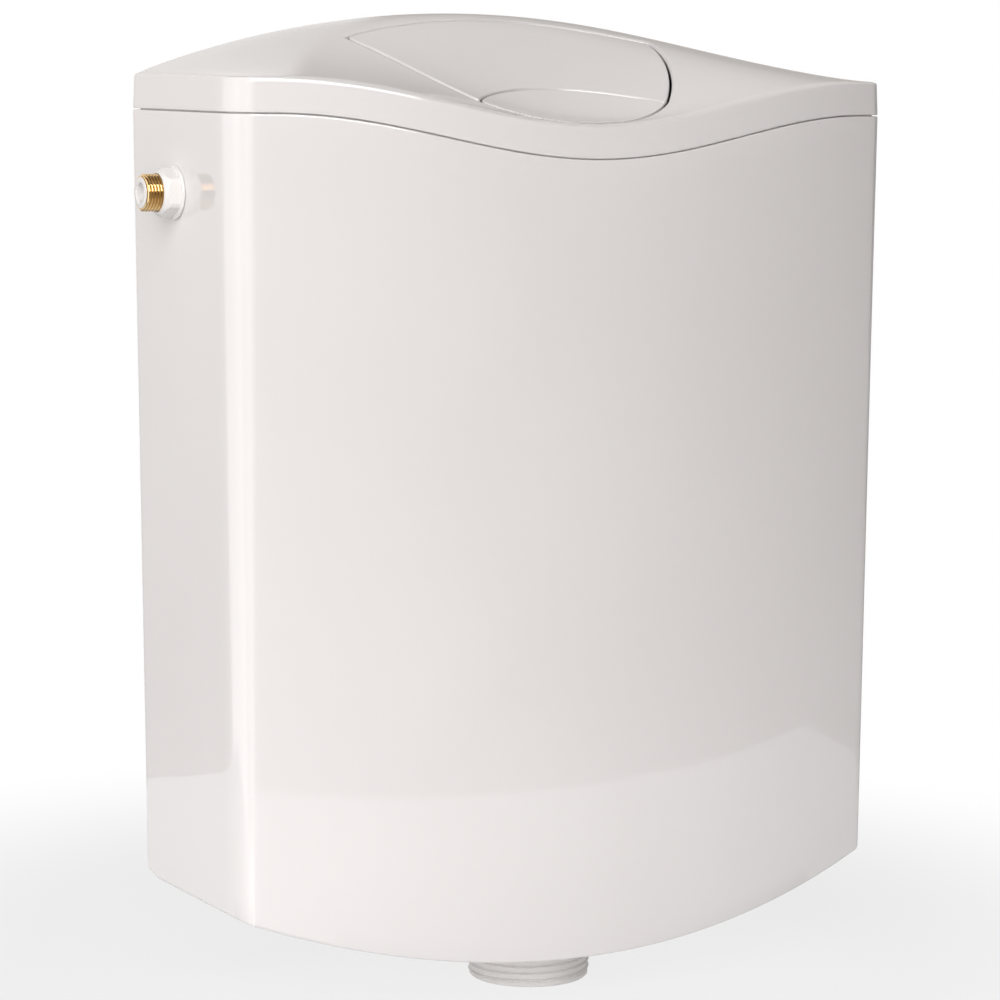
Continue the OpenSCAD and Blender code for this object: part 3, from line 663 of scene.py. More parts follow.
class SurfaceGroups:
    """Shader node groups that the finishes share."""

    outputs = ("Tone", "Roughness", "Height")
    skin_height = 0.02
    line_squeeze = (1.0, 0.02, 0.02)
    joint_width = 0.16

    @classmethod
    def start(cls, name: str, scales: dict[str, float], gloss: Flat) -> tuple[Tree, Node, Node]:
        """Begin a node group with its sockets.

        Args:
            name: Name of the group.
            scales: Default of each of its scales.
            gloss: Defaults of its least and its greatest roughness.

        Returns:
            The group, its input node and its output node.
        """
        group = bpy.data.node_groups.new(name, "ShaderNodeTree")
        group.interface.new_socket("Vector", in_out="INPUT", socket_type="NodeSocketVector")
        inputs = {**scales, "Gloss Low": gloss[0], "Gloss High": gloss[1]}
        for label, value in inputs.items():
            socket = group.interface.new_socket(label, in_out="INPUT", socket_type="NodeSocketFloat")
            socket.default_value = value
        for label in cls.outputs:
            group.interface.new_socket(label, in_out="OUTPUT", socket_type="NodeSocketFloat")
        return group, group.nodes.new("NodeGroupInput"), group.nodes.new("NodeGroupOutput")

    @classmethod
    def end(cls, group: Tree, sink: Node, *results: Socket) -> Tree:
        """Join a group's tone, roughness and height to its outputs.

        Args:
            group: Node group to end.
            sink: Its output node.
            *results: Sockets in the order of the outputs.

        Returns:
            The node group.
        """
        for label, result in zip(cls.outputs, results):
            group.links.new(result, sink.inputs[label])
        return group

    @staticmethod
    def noise(group: Tree, vector: Socket, scale: Socket, detail: float) -> Socket:
        """Add a noise texture.

        Args:
            group: Node group to add it to.
            vector: Socket of its place.
            scale: Socket of its scale.
            detail: Number of finer layers in it.

        Returns:
            Socket of its value.
        """
        texture = group.nodes.new("ShaderNodeTexNoise")
        texture.inputs["Detail"].default_value = detail
        group.links.new(vector, texture.inputs["Vector"])
        group.links.new(scale, texture.inputs["Scale"])
        return texture.outputs["Fac"]

    @staticmethod
    def ranged(group: Tree, value: Socket, low: Socket, high: Socket) -> Socket:
        """Spread a noise value between two others.

        Args:
            group: Node group to add the node to.
            value: Socket of the noise.
            low: Socket of the least result.
            high: Socket of the greatest result.

        Returns:
            Socket of the result.
        """
        spread = group.nodes.new("ShaderNodeMapRange")
        for label, limit in zip(("From Min", "From Max"), NOISE_SPAN):
            spread.inputs[label].default_value = limit
        for label, socket in (("Value", value), ("To Min", low), ("To Max", high)):
            group.links.new(socket, spread.inputs[label])
        return spread.outputs["Result"]

    @classmethod
    def moulding(cls) -> Tree:
        """Slow drift of a moulded face: its gloss, its tone and its sink marks.

        Returns:
            The node group.
        """
        scales = {"Sink Scale": 9.0, "Skin Scale": 260.0}
        group, source, sink = cls.start("moulding_drift", scales, (0.06, 0.1))
        out = source.outputs
        broad = cls.noise(group, out["Vector"], out["Sink Scale"], 1.0)
        skin = cls.noise(group, out["Vector"], out["Skin Scale"], 2.0)
        rough = cls.ranged(group, skin, out["Gloss Low"], out["Gloss High"])
        height = group.nodes.new("ShaderNodeMath")
        height.operation = "MULTIPLY_ADD"
        height.inputs[1].default_value = cls.skin_height
        group.links.new(skin, height.inputs[0])
        group.links.new(broad, height.inputs[2])
        return cls.end(group, sink, broad, rough, height.outputs[0])

    @classmethod
    def tooling(cls) -> Tree:
        """Fine lines that a tool leaves along one direction, with an uneven shine.

        Returns:
            The node group.
        """
        scales = {"Line Scale": 900.0, "Patch Scale": 120.0}
        group, source, sink = cls.start("tooling_lines", scales, (0.1, 0.2))
        out = source.outputs
        squeeze = group.nodes.new("ShaderNodeMapping")
        squeeze.inputs["Scale"].default_value = cls.line_squeeze
        group.links.new(out["Vector"], squeeze.inputs["Vector"])
        lines = cls.noise(group, squeeze.outputs["Vector"], out["Line Scale"], 3.0)
        patch = cls.noise(group, out["Vector"], out["Patch Scale"], 2.0)
        rough = cls.ranged(group, patch, out["Gloss Low"], out["Gloss High"])
        return cls.end(group, sink, patch, rough, lines)

    @classmethod
    def beads(cls) -> Tree:
        """Pressed beads of an expanded foam, with dark joints between them.

        Returns:
            The node group.
        """
        group, source, sink = cls.start("foam_beads", {"Bead Scale": 260.0}, (0.55, 0.75))
        out = source.outputs
        cells = group.nodes.new("ShaderNodeTexVoronoi")
        cells.feature = "DISTANCE_TO_EDGE"
        group.links.new(out["Vector"], cells.inputs["Vector"])
        group.links.new(out["Bead Scale"], cells.inputs["Scale"])
        joint = group.nodes.new("ShaderNodeMapRange")
        joint.inputs["From Max"].default_value = cls.joint_width
        group.links.new(cells.outputs["Distance"], joint.inputs["Value"])
        bead = joint.outputs["Result"]
        rough = cls.ranged(group, bead, out["Gloss High"], out["Gloss Low"])
        return cls.end(group, sink, bead, rough, bead)


class Skin(Enum):
    """Shared surface effect that a finish is built on."""

    MOULDED = "moulding"
    TOOLED = "tooling"
    BEADED = "beads"


@dataclass(frozen=True)
class Finish:
    """Look of one material slot."""

    slot: str
    skin: Skin
    light: Point
    dark: Point
    gloss: Flat
    bump: float
    bump_mm: float
    scales: dict[str, float]
    metallic: float = 0.0
    ior: float = 1.5

    def material(self, groups: dict[Skin, Tree]) -> bpy.types.Material:
        """Build the procedural material.

        Args:
            groups: Node group of each surface effect.

        Returns:
            The material.
        """
        material = bpy.data.materials.new(f"{self.slot}_finish")
        material.use_nodes = True
        nodes, links = material.node_tree.nodes, material.node_tree.links
        shader = nodes["Principled BSDF"]
        shader.inputs["Metallic"].default_value = self.metallic
        shader.inputs["IOR"].default_value = self.ior
        place = nodes.new("ShaderNodeTexCoord")
        effect = nodes.new("ShaderNodeGroup")
        effect.node_tree = groups[self.skin]
        for label, value in self.scales.items():
            effect.inputs[label].default_value = value
        effect.inputs["Gloss Low"].default_value = self.gloss[0]
        effect.inputs["Gloss High"].default_value = self.gloss[1]
        tone = nodes.new("ShaderNodeValToRGB")
        for stop, position, colour in zip(tone.color_ramp.elements, NOISE_SPAN, (self.dark, self.light)):
            stop.position = position
            stop.color = (*colour, 1.0)
        relief = nodes.new("ShaderNodeBump")
        relief.inputs["Strength"].default_value = self.bump
        relief.inputs["Distance"].default_value = self.bump_mm * MM
        links.new(place.outputs["Object"], effect.inputs["Vector"])
        links.new(effect.outputs["Tone"], tone.inputs["Fac"])
        links.new(effect.outputs["Roughness"], shader.inputs["Roughness"])
        links.new(effect.outputs["Height"], relief.inputs["Height"])
        links.new(tone.outputs["Color"], shader.inputs["Base Color"])
        links.new(relief.outputs["Normal"], shader.inputs["Normal"])
        return material


@dataclass(frozen=True)
class Paintbox:
    """Finishes of every material slot, as built materials, and the nodes that new pieces stand for."""

    materials: dict[str, bpy.types.Material]
    done: list[str] = field(default_factory=list)

    @classmethod
    def mixed(cls) -> "Paintbox":
        """Build the shared effects and every finish.

        Returns:
            The finishes by slot.
        """
        groups = {skin: getattr(SurfaceGroups, skin.value)() for skin in Skin}
        moulded = {"Sink Scale": 9.0, "Skin Scale": 420.0}
        satin = {"Sink Scale": 30.0, "Skin Scale": 1400.0}
        soft = {"Sink Scale": 60.0, "Skin Scale": 2200.0}
        tooled = {"Line Scale": 2400.0, "Patch Scale": 160.0}
        shell = (0.815, 0.792, 0.784), (0.80, 0.776, 0.768)
        finishes = [
            Finish("white_abs", Skin.MOULDED, *shell, (0.008, 0.02), 0.12, 1.5, moulded),
            Finish("button_abs", Skin.MOULDED, *shell, (0.03, 0.05), 0.12, 1.5, moulded),
            Finish("white_pp", Skin.MOULDED, (0.80, 0.785, 0.77), (0.77, 0.75, 0.735), (0.2, 0.3), 0.2, 0.3,
                   satin),
            Finish("grey_pp", Skin.MOULDED, (0.60, 0.61, 0.62), (0.55, 0.56, 0.57), (0.32, 0.45), 0.25, 0.3,
                   satin),
            Finish("blue_pp", Skin.MOULDED, (0.16, 0.27, 0.47), (0.13, 0.23, 0.42), (0.3, 0.42), 0.25, 0.3,
                   satin),
            Finish("foam", Skin.BEADED, (0.86, 0.86, 0.83), (0.66, 0.66, 0.63), (0.55, 0.75), 0.6, 0.4,
                   {"Bead Scale": 240.0}),
            Finish("rubber", Skin.MOULDED, (0.028, 0.028, 0.028), (0.016, 0.016, 0.016), (0.5, 0.7), 0.4, 0.3,
                   soft),
            Finish("brass", Skin.TOOLED, (0.76, 0.56, 0.3), (0.61, 0.43, 0.2), (0.05, 0.1), 0.12, 0.05,
                   tooled, metallic=1.0),
            Finish("steel", Skin.TOOLED, (0.62, 0.62, 0.63), (0.5, 0.5, 0.51), (0.22, 0.34), 0.15, 0.05,
                   tooled, metallic=1.0),
        ]
        return cls({finish.slot: finish.material(groups) for finish in finishes})

    def dress(self, piece: Piece, slot: str, body: str, *nodes: str) -> None:
        """Give a new piece its finish, its body and the nodes that it stands for.

        Args:
            piece: Finished mesh object.
            slot: Material slot of its finish.
            body: Body that it rides on.
            *nodes: Nodes of the frame that it stands for.
        """
        piece.data.materials.clear()
        piece.data.materials.append(self.materials[slot])
        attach(piece, body)
        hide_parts(*nodes)
        self.done.extend(nodes)
        LOG.info("%s: %d faces on %s", piece.name, len(piece.data.polygons), body)

    def dress_nodes(self) -> None:
        """Give each node that keeps its own shape the finish of its slot."""
        for part in frame["record"]["subparts"]:
            name = part["node"]
            if name in self.done:
                continue
            node = frame["nodes"][name]
            for place in node.material_slots:
                place.material = self.materials[part["material_slot"]]
            LOG.info("%s: keeps its shape, finish %s", name, part["material_slot"])


@dataclass
class Tank:
    """Moulded tank with its outlet pad, bosses and holes."""

    form: BodyForm
    wall: float = 3.0
    rim_fillet: float = 0.6
    foot_fillet: float = 1.6
    fillet_rows: int = 4
    foot_rows: int = 5
    heel_rows: int = 3
    wall_rows: int = 40
    floor_rows: int = 8
    inner_rows: int = 14
    valve_y: float = -89.0
    pad_r: float = 50.0
    pad_low: float = -412.0
    pad_high: float = -406.0
    pad_bevel: float = 0.6
    outlet_hole_r: float = 36.4
    inlet_y: float = -59.0
    inlet_z: float = 26.4
    inlet_hole_r: float = 10.88
    fixing_x: float = 115.0
    fixing_r: float = 4.5
    boss_xs: Flat = (-46.0, -6.0)
    boss_z: float = 26.0
    boss_r: float = 5.5
    boss_l: float = 8.0
    screw_r: float = 2.0

    def wall_ring(self, share: float, inset: float, low: float, high: float) -> Ring:
        """Ring of a wall, a share of the way down from the rim to the foot.

        Args:
            share: Share of the way down.
            inset: Distance inside the outer wall.
            low: Distance that the wall ends above the foot.
            high: Distance that it starts below the rim.

        Returns:
            The ring.
        """
        ring = []
        for column in range(self.form.columns):
            x, y = self.form.outline(column, self.form.rim_z, inset)
            z = lerp(self.form.rim(x, y) - high, self.form.foot(x, y) + low, share)
            ring.append((*self.form.outline(column, z, inset), z))
        return ring

    def floor_ring(self, inset: float, up: float) -> Ring:
        """Ring of the floor.

        Args:
            inset: Distance inside the outer wall.
            up: Height above the underside.

        Returns:
            The ring.
        """
        ring = []
        for column in range(self.form.columns):
            x, y = self.form.outline(column, self.form.foot(0.0, -self.form.depth), inset)
            ring.append((x, y, self.form.foot(x, y) + up))
        return ring

    def pad_point(self, column: int, radius: float) -> Flat:
        """Point round the outlet that lies towards a column of the outline.

        Args:
            column: Number of the column.
            radius: Distance from the outlet's middle.

        Returns:
            X and Y of the point.
        """
        x, y = self.form.outline(column, self.pad_low, self.form.heel_depth)
        angle = math.atan2(y - self.valve_y, x)
        return radius * math.cos(angle), self.valve_y + radius * math.sin(angle)

    def pad_ring(self, radius: float, z: float | None, up: float = 0.0) -> Ring:
        """Ring round the outlet.

        Args:
            radius: Radius of the ring.
            z: Height of the ring, or None where it lies on the floor.
            up: Height above the underside, on the floor.

        Returns:
            The ring.
        """
        points = [self.pad_point(column, radius) for column in range(self.form.columns)]
        return [(x, y, self.form.foot(x, y) + up if z is None else z) for x, y in points]

    def web_rings(self, inset: float, up: float) -> list[Ring]:
        """Rings of the floor between an inset outline and the outlet pad.

        Args:
            inset: Distance of the outer ring inside the wall.
            up: Height above the underside.

        Returns:
            Rings from the outline to the pad, without both ends.
        """
        rings = []
        for share in steps(self.floor_rows, 1)[:-1]:
            ring = []
            for column in range(self.form.columns):
                outer = self.form.outline(column, self.pad_low, inset)
                x, y = between(outer, self.pad_point(column, self.pad_r), share)
                ring.append((x, y, self.form.foot(x, y) + up))
            rings.append(ring)
        return rings

    def rings(self) -> list[Ring]:
        """Rings of the whole shell, down its outside and up its inside.

        Returns:
            The rings in order.
        """
        rings = []
        for inset, drop in reversed(quarter(self.rim_fillet, self.fillet_rows)):
            rings.append(self.wall_ring(0.0, inset, self.foot_fillet, drop))
        for share in steps(self.wall_rows, 1):
            rings.append(self.wall_ring(share, 0.0, self.foot_fillet, self.rim_fillet))
        for inset, rise in quarter(self.foot_fillet, self.foot_rows)[1:]:
            rings.append(self.floor_ring(inset, rise))
        heel = self.form.heel_depth
        for share in steps(self.heel_rows, 1):
            rings.append(self.floor_ring(lerp(self.foot_fillet, heel, share), 0.0))
        rings += self.web_rings(heel, 0.0)
        bevel = self.pad_bevel
        rings += [
            self.pad_ring(self.pad_r, None),
            self.pad_ring(self.pad_r, self.pad_low + bevel),
            self.pad_ring(self.pad_r - bevel, self.pad_low),
            self.pad_ring(self.outlet_hole_r + bevel, self.pad_low),
            self.pad_ring(self.outlet_hole_r, self.pad_low + bevel),
            self.pad_ring(self.outlet_hole_r, self.pad_high),
            self.pad_ring(self.pad_r, self.pad_high),
        ]
        rings += reversed(self.web_rings(heel, self.wall))
        inner_r = 2 * self.wall
        rings.append(self.floor_ring(heel, self.wall))
        for inset, rise in reversed(quarter(inner_r, self.fillet_rows)):
            rings.append(self.floor_ring(self.wall + inset, self.wall + rise))
        for share in reversed(steps(self.inner_rows)[:-1]):
            rings.append(self.wall_ring(share, self.wall, self.wall + inner_r, self.rim_fillet))
        for inset, drop in quarter(self.rim_fillet, self.fillet_rows)[1:]:
            rings.append(self.wall_ring(0.0, self.wall - inset, self.foot_fillet, drop))
        return rings

    def bosses(self) -> Piece:
        """Bosses on the inside of the rear wall, as one tool.

        Returns:
            The tool.
        """
        low, high = -self.wall - self.boss_l, -self.wall / 2
        spindles = [Spindle(Axis.Y, (self.boss_z, x)) for x in self.boss_xs]
        bars = [spindle.bar("boss", low, high, self.boss_r) for spindle in spindles]
        return joined(bars)

    def holes(self) -> Piece:
        """Inlet, fixing and screw holes, as one tool.

        Returns:
            The tool.
        """
        past = 2 * self.wall
        bars = []
        for hand in (-1, 1):
            wall_x = hand * self.form.half
            inlet = Spindle(Axis.X, (self.inlet_y, self.inlet_z))
            bars.append(inlet.bar("hole", wall_x - past, wall_x + past, self.inlet_hole_r, columns=72))
            fixing = Spindle(Axis.Y, (0.0, hand * self.fixing_x))
            bars.append(fixing.bar("hole", -past, past, self.fixing_r))
        for x in self.boss_xs:
            screw = Spindle(Axis.Y, (self.boss_z, x))
            bars.append(screw.bar("hole", -past - self.boss_l, -self.wall, self.screw_r, columns=32))
        return joined(bars)

    def build(self, paint: Paintbox) -> None:
        """Make the tank and dress it.

        Args:
            paint: Finishes by slot.
        """
        tank = ring_piece("tank", self.rings())
        combine(tank, self.bosses(), "UNION")
        combine(tank, self.holes(), "DIFFERENCE")
        close(tank)
        paint.dress(tank, "white_abs", "tank", "tank_shell")


@dataclass(frozen=True)
class Arc:
    """Stretch of a circle between two angles."""

    centre: Flat
    radius: float
    first: float
    last: float

    @classmethod
    def through(cls, centre: Flat, start: Flat, end: Flat) -> "Arc":
        """Arc round a centre from one point to another, by the shorter way.

        Args:
            centre: Centre of the circle.
            start: Point where the arc begins, which sets its radius.
            end: Point where it ends.

        Returns:
            The arc.
        """
        first = math.atan2(start[1] - centre[1], start[0] - centre[0])
        last = math.atan2(end[1] - centre[1], end[0] - centre[0])
        last += 2 * math.pi * round((first - last) / (2 * math.pi))
        return cls(centre, math.hypot(start[0] - centre[0], start[1] - centre[1]), first, last)

    @property
    def length(self) -> float:
        """Length of the arc."""
        return self.radius * abs(self.last - self.first)

    def at(self, share: float) -> Flat:
        """Point a share of the way along the arc."""
        angle = lerp(self.first, self.last, share)
        return self.centre[0] + self.radius * math.cos(angle), self.centre[1] + self.radius * math.sin(angle)


@dataclass(frozen=True)
class ButtonField:
    """Outline of the field in the lid that both buttons fill, and of the buttons in it."""

    form: BodyForm
    rear_centre: Flat = (0.0, -254.75)
    rear_r: float = 228.75
    side_centre: Flat = (-65.16, -26.48)
    side_r: float = 168.8
    front_centre: Flat = (0.0, -67.46)
    front_r: float = 93.54
    split_centre: Flat = (0.0, -181.0)
    split_r: float = 75.0
    split_gap: float = 1.3
    gap: float = 1.3
    tip_cut: float = 3.6
    front_cut: float = 2.6
    end_cut: float = 2.0
    hinge: Flat = (-40.0, 98.0)
    hinge_reach: float = 6.0

    def by_hinge(self, forward: int, up: int) -> Flat:
        """Y and Z of a corner of the square round the hinge rod, or of the middle of a side."""
        return self.hinge[0] - forward * self.hinge_reach, self.hinge[1] + up * self.hinge_reach

    def corners(self, inset: float) -> tuple[Flat, Flat]:
        """Right tip and right front corner of the field, before they are rounded.

        Args:
            inset: Distance inside the field's outline.

        Returns:
            The tip and the front corner.
        """
        side = (self.side_centre, self.side_r - inset)
        tips = circle_cross(self.rear_centre, self.rear_r - inset, *side)
        fronts = circle_cross(self.front_centre, self.front_r - inset, *side)
        return max(tips), min(fronts, key=lambda point: point[1])

    def arcs(self, inset: float) -> tuple[Arc, Arc, Arc]:
        """Rear, side and front arcs of the field's right half.

        Args:
            inset: Distance inside the field's outline.

        Returns:
            The three arcs from the middle of the rear to the middle of the front.
        """
        tip, corner = self.corners(inset)
        rear = Arc.through(self.rear_centre, (0.0, self.rear_centre[1] + self.rear_r - inset), tip)
        side = Arc.through(self.side_centre, tip, corner)
        front = Arc.through(self.front_centre, corner, (0.0, self.front_centre[1] - self.front_r + inset))
        return rear, side, front

    def outline(self, column: int, inset: float) -> Flat:
        """Point of the field's outline that goes with a column of the lid's outline.

        Args:
            column: Number of the column.
            inset: Distance inside the field's outline, less than 0 outside it.

        Returns:
            X and Y of the point.
        """
        stations = self.form.stations
        hand, stretch, share = stations.find(column)
        tip, corner = self.corners(inset)
        rear, side, front = self.arcs(inset)
        rear_end = 1 - self.tip_cut / rear.length
        side_start, side_end = self.tip_cut / side.length, 1 - self.front_cut / side.length
        front_start = self.front_cut / front.length
        flank = stations.heel + stations.side
        if stretch == "rear":
            x, y = rear.at(rear_end * share)
        elif stretch == "turn":
            x, y = rounded(rear.at(rear_end), tip, side.at(side_start), share)
        elif stretch in ("heel", "side"):
            passed = share * stations.heel if stretch == "heel" else stations.heel + share * stations.side
            x, y = side.at(lerp(side_start, side_end, passed / flank))
        elif stretch == "corner":
            x, y = rounded(side.at(side_end), corner, front.at(front_start), share)
        else:
            x, y = front.at(lerp(front_start, 1.0, share))
        return hand * x, y


@dataclass
class Lid:
    """Moulded lid with its skirt, its lip inside the tank, its button field and its hinge ears."""

    form: BodyForm
    buttons: ButtonField
    wall: float = 3.0
    seam: float = 0.8
    foot_fillet: float = 0.4
    skirt_lean: float = 0.8
    skirt_rows: int = 8
    edge_rows: int = 9
    face_rows: int = 44
    field_fillet: float = 1.5
    lip_h: float = 8.0
    lip_t: float = 2.0
    lip_gap: float = 0.5
    root_h: float = 4.0
    under_rows: int = 12
    ear_x: float = 64.0
    ear_t: float = 4.0
    ear_bevel: float = 0.4
    ear_rear: float = -6.0
    ear_front: float = -32.0
    ear_low: float = 110.0
    foot_rows: int = 3
    fillet_rows: int = 4

    def skirt_ring(self, share: float, inset: float, rise: float) -> Ring:
        """Ring of the skirt's outside, a share of the way up to its rounded edge.

        Args:
            share: Share of the way up, which sets how far it leans in.
            inset: Distance inside the leaning wall.
            rise: Distance that the skirt starts above the seam.

        Returns:
            The ring.
        """
        form = self.form
        ring = []
        for column in range(form.columns):
            x, y = form.outline(column, form.rim_z, 0.0)
            low = form.rim(x, y) + self.seam + rise
            high = form.lid_top(column, x, y, 0.0)
            lean = inset + self.skirt_lean * share
            ring.append((*form.outline(column, form.rim_z, lean), lerp(low, high, share)))
        return ring

    def level_ring(self, inset: float, up: float) -> Ring:
        """Ring that follows the tank's rim.

        Args:
            inset: Distance inside the outer wall.
            up: Height above the rim.

        Returns:
            The ring.
        """
        form = self.form
        ring = []
        for column in range(form.columns):
            x, y = form.outline(column, form.rim_z, inset)
            ring.append((x, y, form.rim(x, y) + up))
        return ring

    def face_ring(self, inset: float, down: float) -> Ring:
        """Ring on the lid's face.

        Args:
            inset: Distance inside the top of the skirt.
            down: Distance below the face.

        Returns:
            The ring.
        """
        form = self.form
        ring = []
        for column in range(form.columns):
            x, y = form.outline(column, form.rim_z, inset + self.skirt_lean)
            ring.append((x, y, form.lid_top(column, x, y, inset) - down))
        return ring

    def web_ring(self, share: float, inset: float, down: float) -> Ring:
        """Ring on the lid's face between its outline and the button field.

        Args:
            share: Share of the way to the field.
            inset: Distance of the outline inside the outer wall.
            down: Distance below the face.

        Returns:
            The ring.
        """
        form = self.form
        ring = []
        for column in range(form.columns):
            outer = form.outline(column, form.rim_z, inset)
            x, y = between(outer, self.buttons.outline(column, -self.field_fillet), share)
            ring.append((x, y, form.lid_face(x, y) - down))
        return ring

    def field_ring(self, inset: float, down: float) -> Ring:
        """Ring of the button field's edge."""
        points = [self.buttons.outline(column, inset) for column in range(self.form.columns)]
        return [(x, y, self.form.lid_face(x, y) - down) for x, y in points]

    def rings(self) -> list[Ring]:
        """Rings of the whole lid, up its outside, down through the field and back to the lip.

        Returns:
            The rings in order.
        """
        rings = []
        for inset, rise in reversed(quarter(self.foot_fillet, self.foot_rows)):
            rings.append(self.skirt_ring(0.0, inset, rise))
        rings += [self.skirt_ring(share, 0.0, self.foot_fillet) for share in steps(self.skirt_rows, 1)]
        edge_r, edge_w = self.form.lid_edge_r, self.form.lid_edge_w[0]
        rings += [self.face_ring(inset, 0.0) for inset, _ in quarter(edge_r, self.fillet_rows)[1:]]
        rings += [self.face_ring(lerp(edge_r, edge_w, share), 0.0) for share in steps(self.edge_rows, 1)]
        start = edge_w + self.skirt_lean
        rings += [self.web_ring(share, start, 0.0) for share in steps(self.face_rows, 1)]
        for inset, drop in reversed(quarter(self.field_fillet, self.fillet_rows)[:-1]):
            rings.append(self.field_ring(-inset, drop))
        rings.append(self.field_ring(0.0, self.wall))
        inner = self.wall + self.skirt_lean
        inner_lip = self.wall + self.lip_gap + self.lip_t
        for share in reversed(steps(self.under_rows)):
            rings.append(self.web_ring(share, inner_lip + self.wall, self.wall))
        rings.append(self.face_ring(self.wall, self.wall))
        rings.append(self.level_ring(inner, self.seam + self.root_h))
        rings.append(self.level_ring(inner_lip, self.seam + self.root_h))
        rings.append(self.level_ring(inner_lip, -self.lip_h))
        rings.append(self.level_ring(self.wall + self.lip_gap, -self.lip_h))
        rings.append(self.level_ring(self.wall + self.lip_gap, self.seam))
        return rings

    def ears(self) -> list[Piece]:
        """Ears under the lid that hold the hinge rod.

        Returns:
            The finished mesh objects.
        """
        x = self.ear_x + self.ear_t
        tops = [self.form.under_face(x, y, self.wall / 2) for y in (self.ear_rear, self.ear_front)]
        hook = [self.buttons.by_hinge(1, 0), self.buttons.by_hinge(0, -1), self.buttons.by_hinge(-1, -1)]
        outline = [*tops, (self.ear_front, self.ear_low), *hook, (self.ear_rear, self.ear_low)]
        return [
            prism("ear", outline, hand * self.ear_x - self.ear_t / 2, self.ear_t, self.ear_bevel)
            for hand in (-1, 1)
        ]

    def build(self, paint: Paintbox) -> None:
        """Make the lid and dress it.

        Args:
            paint: Finishes by slot.
        """
        lid = joined([ring_piece("cover", self.rings()), *self.ears()])
        paint.dress(lid, "white_abs", "lid", "lid")


@dataclass
class FlushButton:
    """Button in the lid's field: a patch of the lid's face with thickness and rounded edges."""

    form: BodyForm
    field: ButtonField
    thickness: float = 3.0
    edge: float = 1.2
    across: int = 96
    down: int = 40
    edge_rows: int = 4
    edge_angle: float = 50.0
    lean: Flat = (-0.006, -0.005)
    lean_y: float = -90.0
    pusher_x: float = -38.0
    pusher_y: float = -89.0
    pusher_w: float = 5.0
    pusher_low: float = 52.4
    pusher_bevel: float = 0.3
    pusher_rows: int = 8
    bevel: float = 0.4

    def plate(self, name: str, rear: Edge, right: Edge, front: Edge) -> Piece:
        """Fill four edges with a patch that follows the lid's face.

        Args:
            name: Name of the piece.
            rear: Rear edge from left to right.
            right: Right edge from rear to front. The left one mirrors it.
            front: Front edge from left to right.

        Returns:
            The finished mesh object.
        """
        deselect()
        bpy.ops.mesh.primitive_grid_add(x_subdivisions=self.across, y_subdivisions=self.down, size=2.0)
        piece = named(name)
        places = []
        for v, side in zip(steps(self.down), right):
            for u, back, fore in zip(steps(self.across), rear, front):
                x = lerp(back[0], fore[0], v) + lerp(-side[0], side[0], u)
                x -= lerp(lerp(rear[0][0], rear[-1][0], u), lerp(front[0][0], front[-1][0], u), v)
                y = lerp(back[1], fore[1], v) + side[1]
                y -= lerp(rear[0][1], front[0][1], v)
                z = self.form.lid_face(x, y) + self.lean[0] * x + self.lean[1] * (y - self.lean_y)
                places += [x * MM, y * MM, z * MM]
        piece.data.vertices.foreach_set("co", places)
        with editing(piece):
            bpy.ops.mesh.extrude_region_move(
                TRANSFORM_OT_translate={"value": (0.0, 0.0, -self.thickness * MM)}
            )
        close(piece)
        apply_modifier(
            piece, "BEVEL", width=self.edge * MM, segments=self.edge_rows,
            limit_method="ANGLE", angle_limit=math.radians(self.edge_angle),
        )
        close(piece)
        return piece

    def pusher(self) -> Piece:
        """Finger under the button, rounded where it meets its rocker.

        Returns:
            The finished mesh object.
        """
        reach = self.pusher_w / 2
        high = self.form.lid_face(self.pusher_x, self.pusher_y) - self.thickness / 2
        outline = [(self.pusher_y + hand * reach, high) for hand in (-1, 1)]
        for share in steps(self.pusher_rows):
            angle = share * math.pi
            low = self.pusher_low + reach - reach * math.sin(angle)
            outline.append((self.pusher_y + reach * math.cos(angle), low))
        return prism("pusher", outline, self.pusher_x - reach, self.pusher_w, self.pusher_bevel)


def resampled(points: Edge, count: int) -> list[Flat]:
    """Points at even distances along a polyline.

    Args:
        points: Corners of the polyline.
        count: Number of steps to cut it into.

    Returns:
        The points, one more than the count.
    """
    passed = [0.0]
    for a, b in zip(points, points[1:]):
        passed.append(passed[-1] + math.hypot(b[0] - a[0], b[1] - a[1]))
    made = []
    leg = 0
    for share in steps(count):
        goal = share * passed[-1]
        while leg < len(points) - 2 and passed[leg + 1] < goal:
            leg += 1
        part = (goal - passed[leg]) / (passed[leg + 1] - passed[leg])
        made.append(between(points[leg], points[leg + 1], part))
    return made


def mirrored(half: Edge) -> list[Flat]:
    """Edge from left to right, from its right half that starts in the middle."""
    return [(-x, y) for x, y in reversed(half)] + list(half[1:])


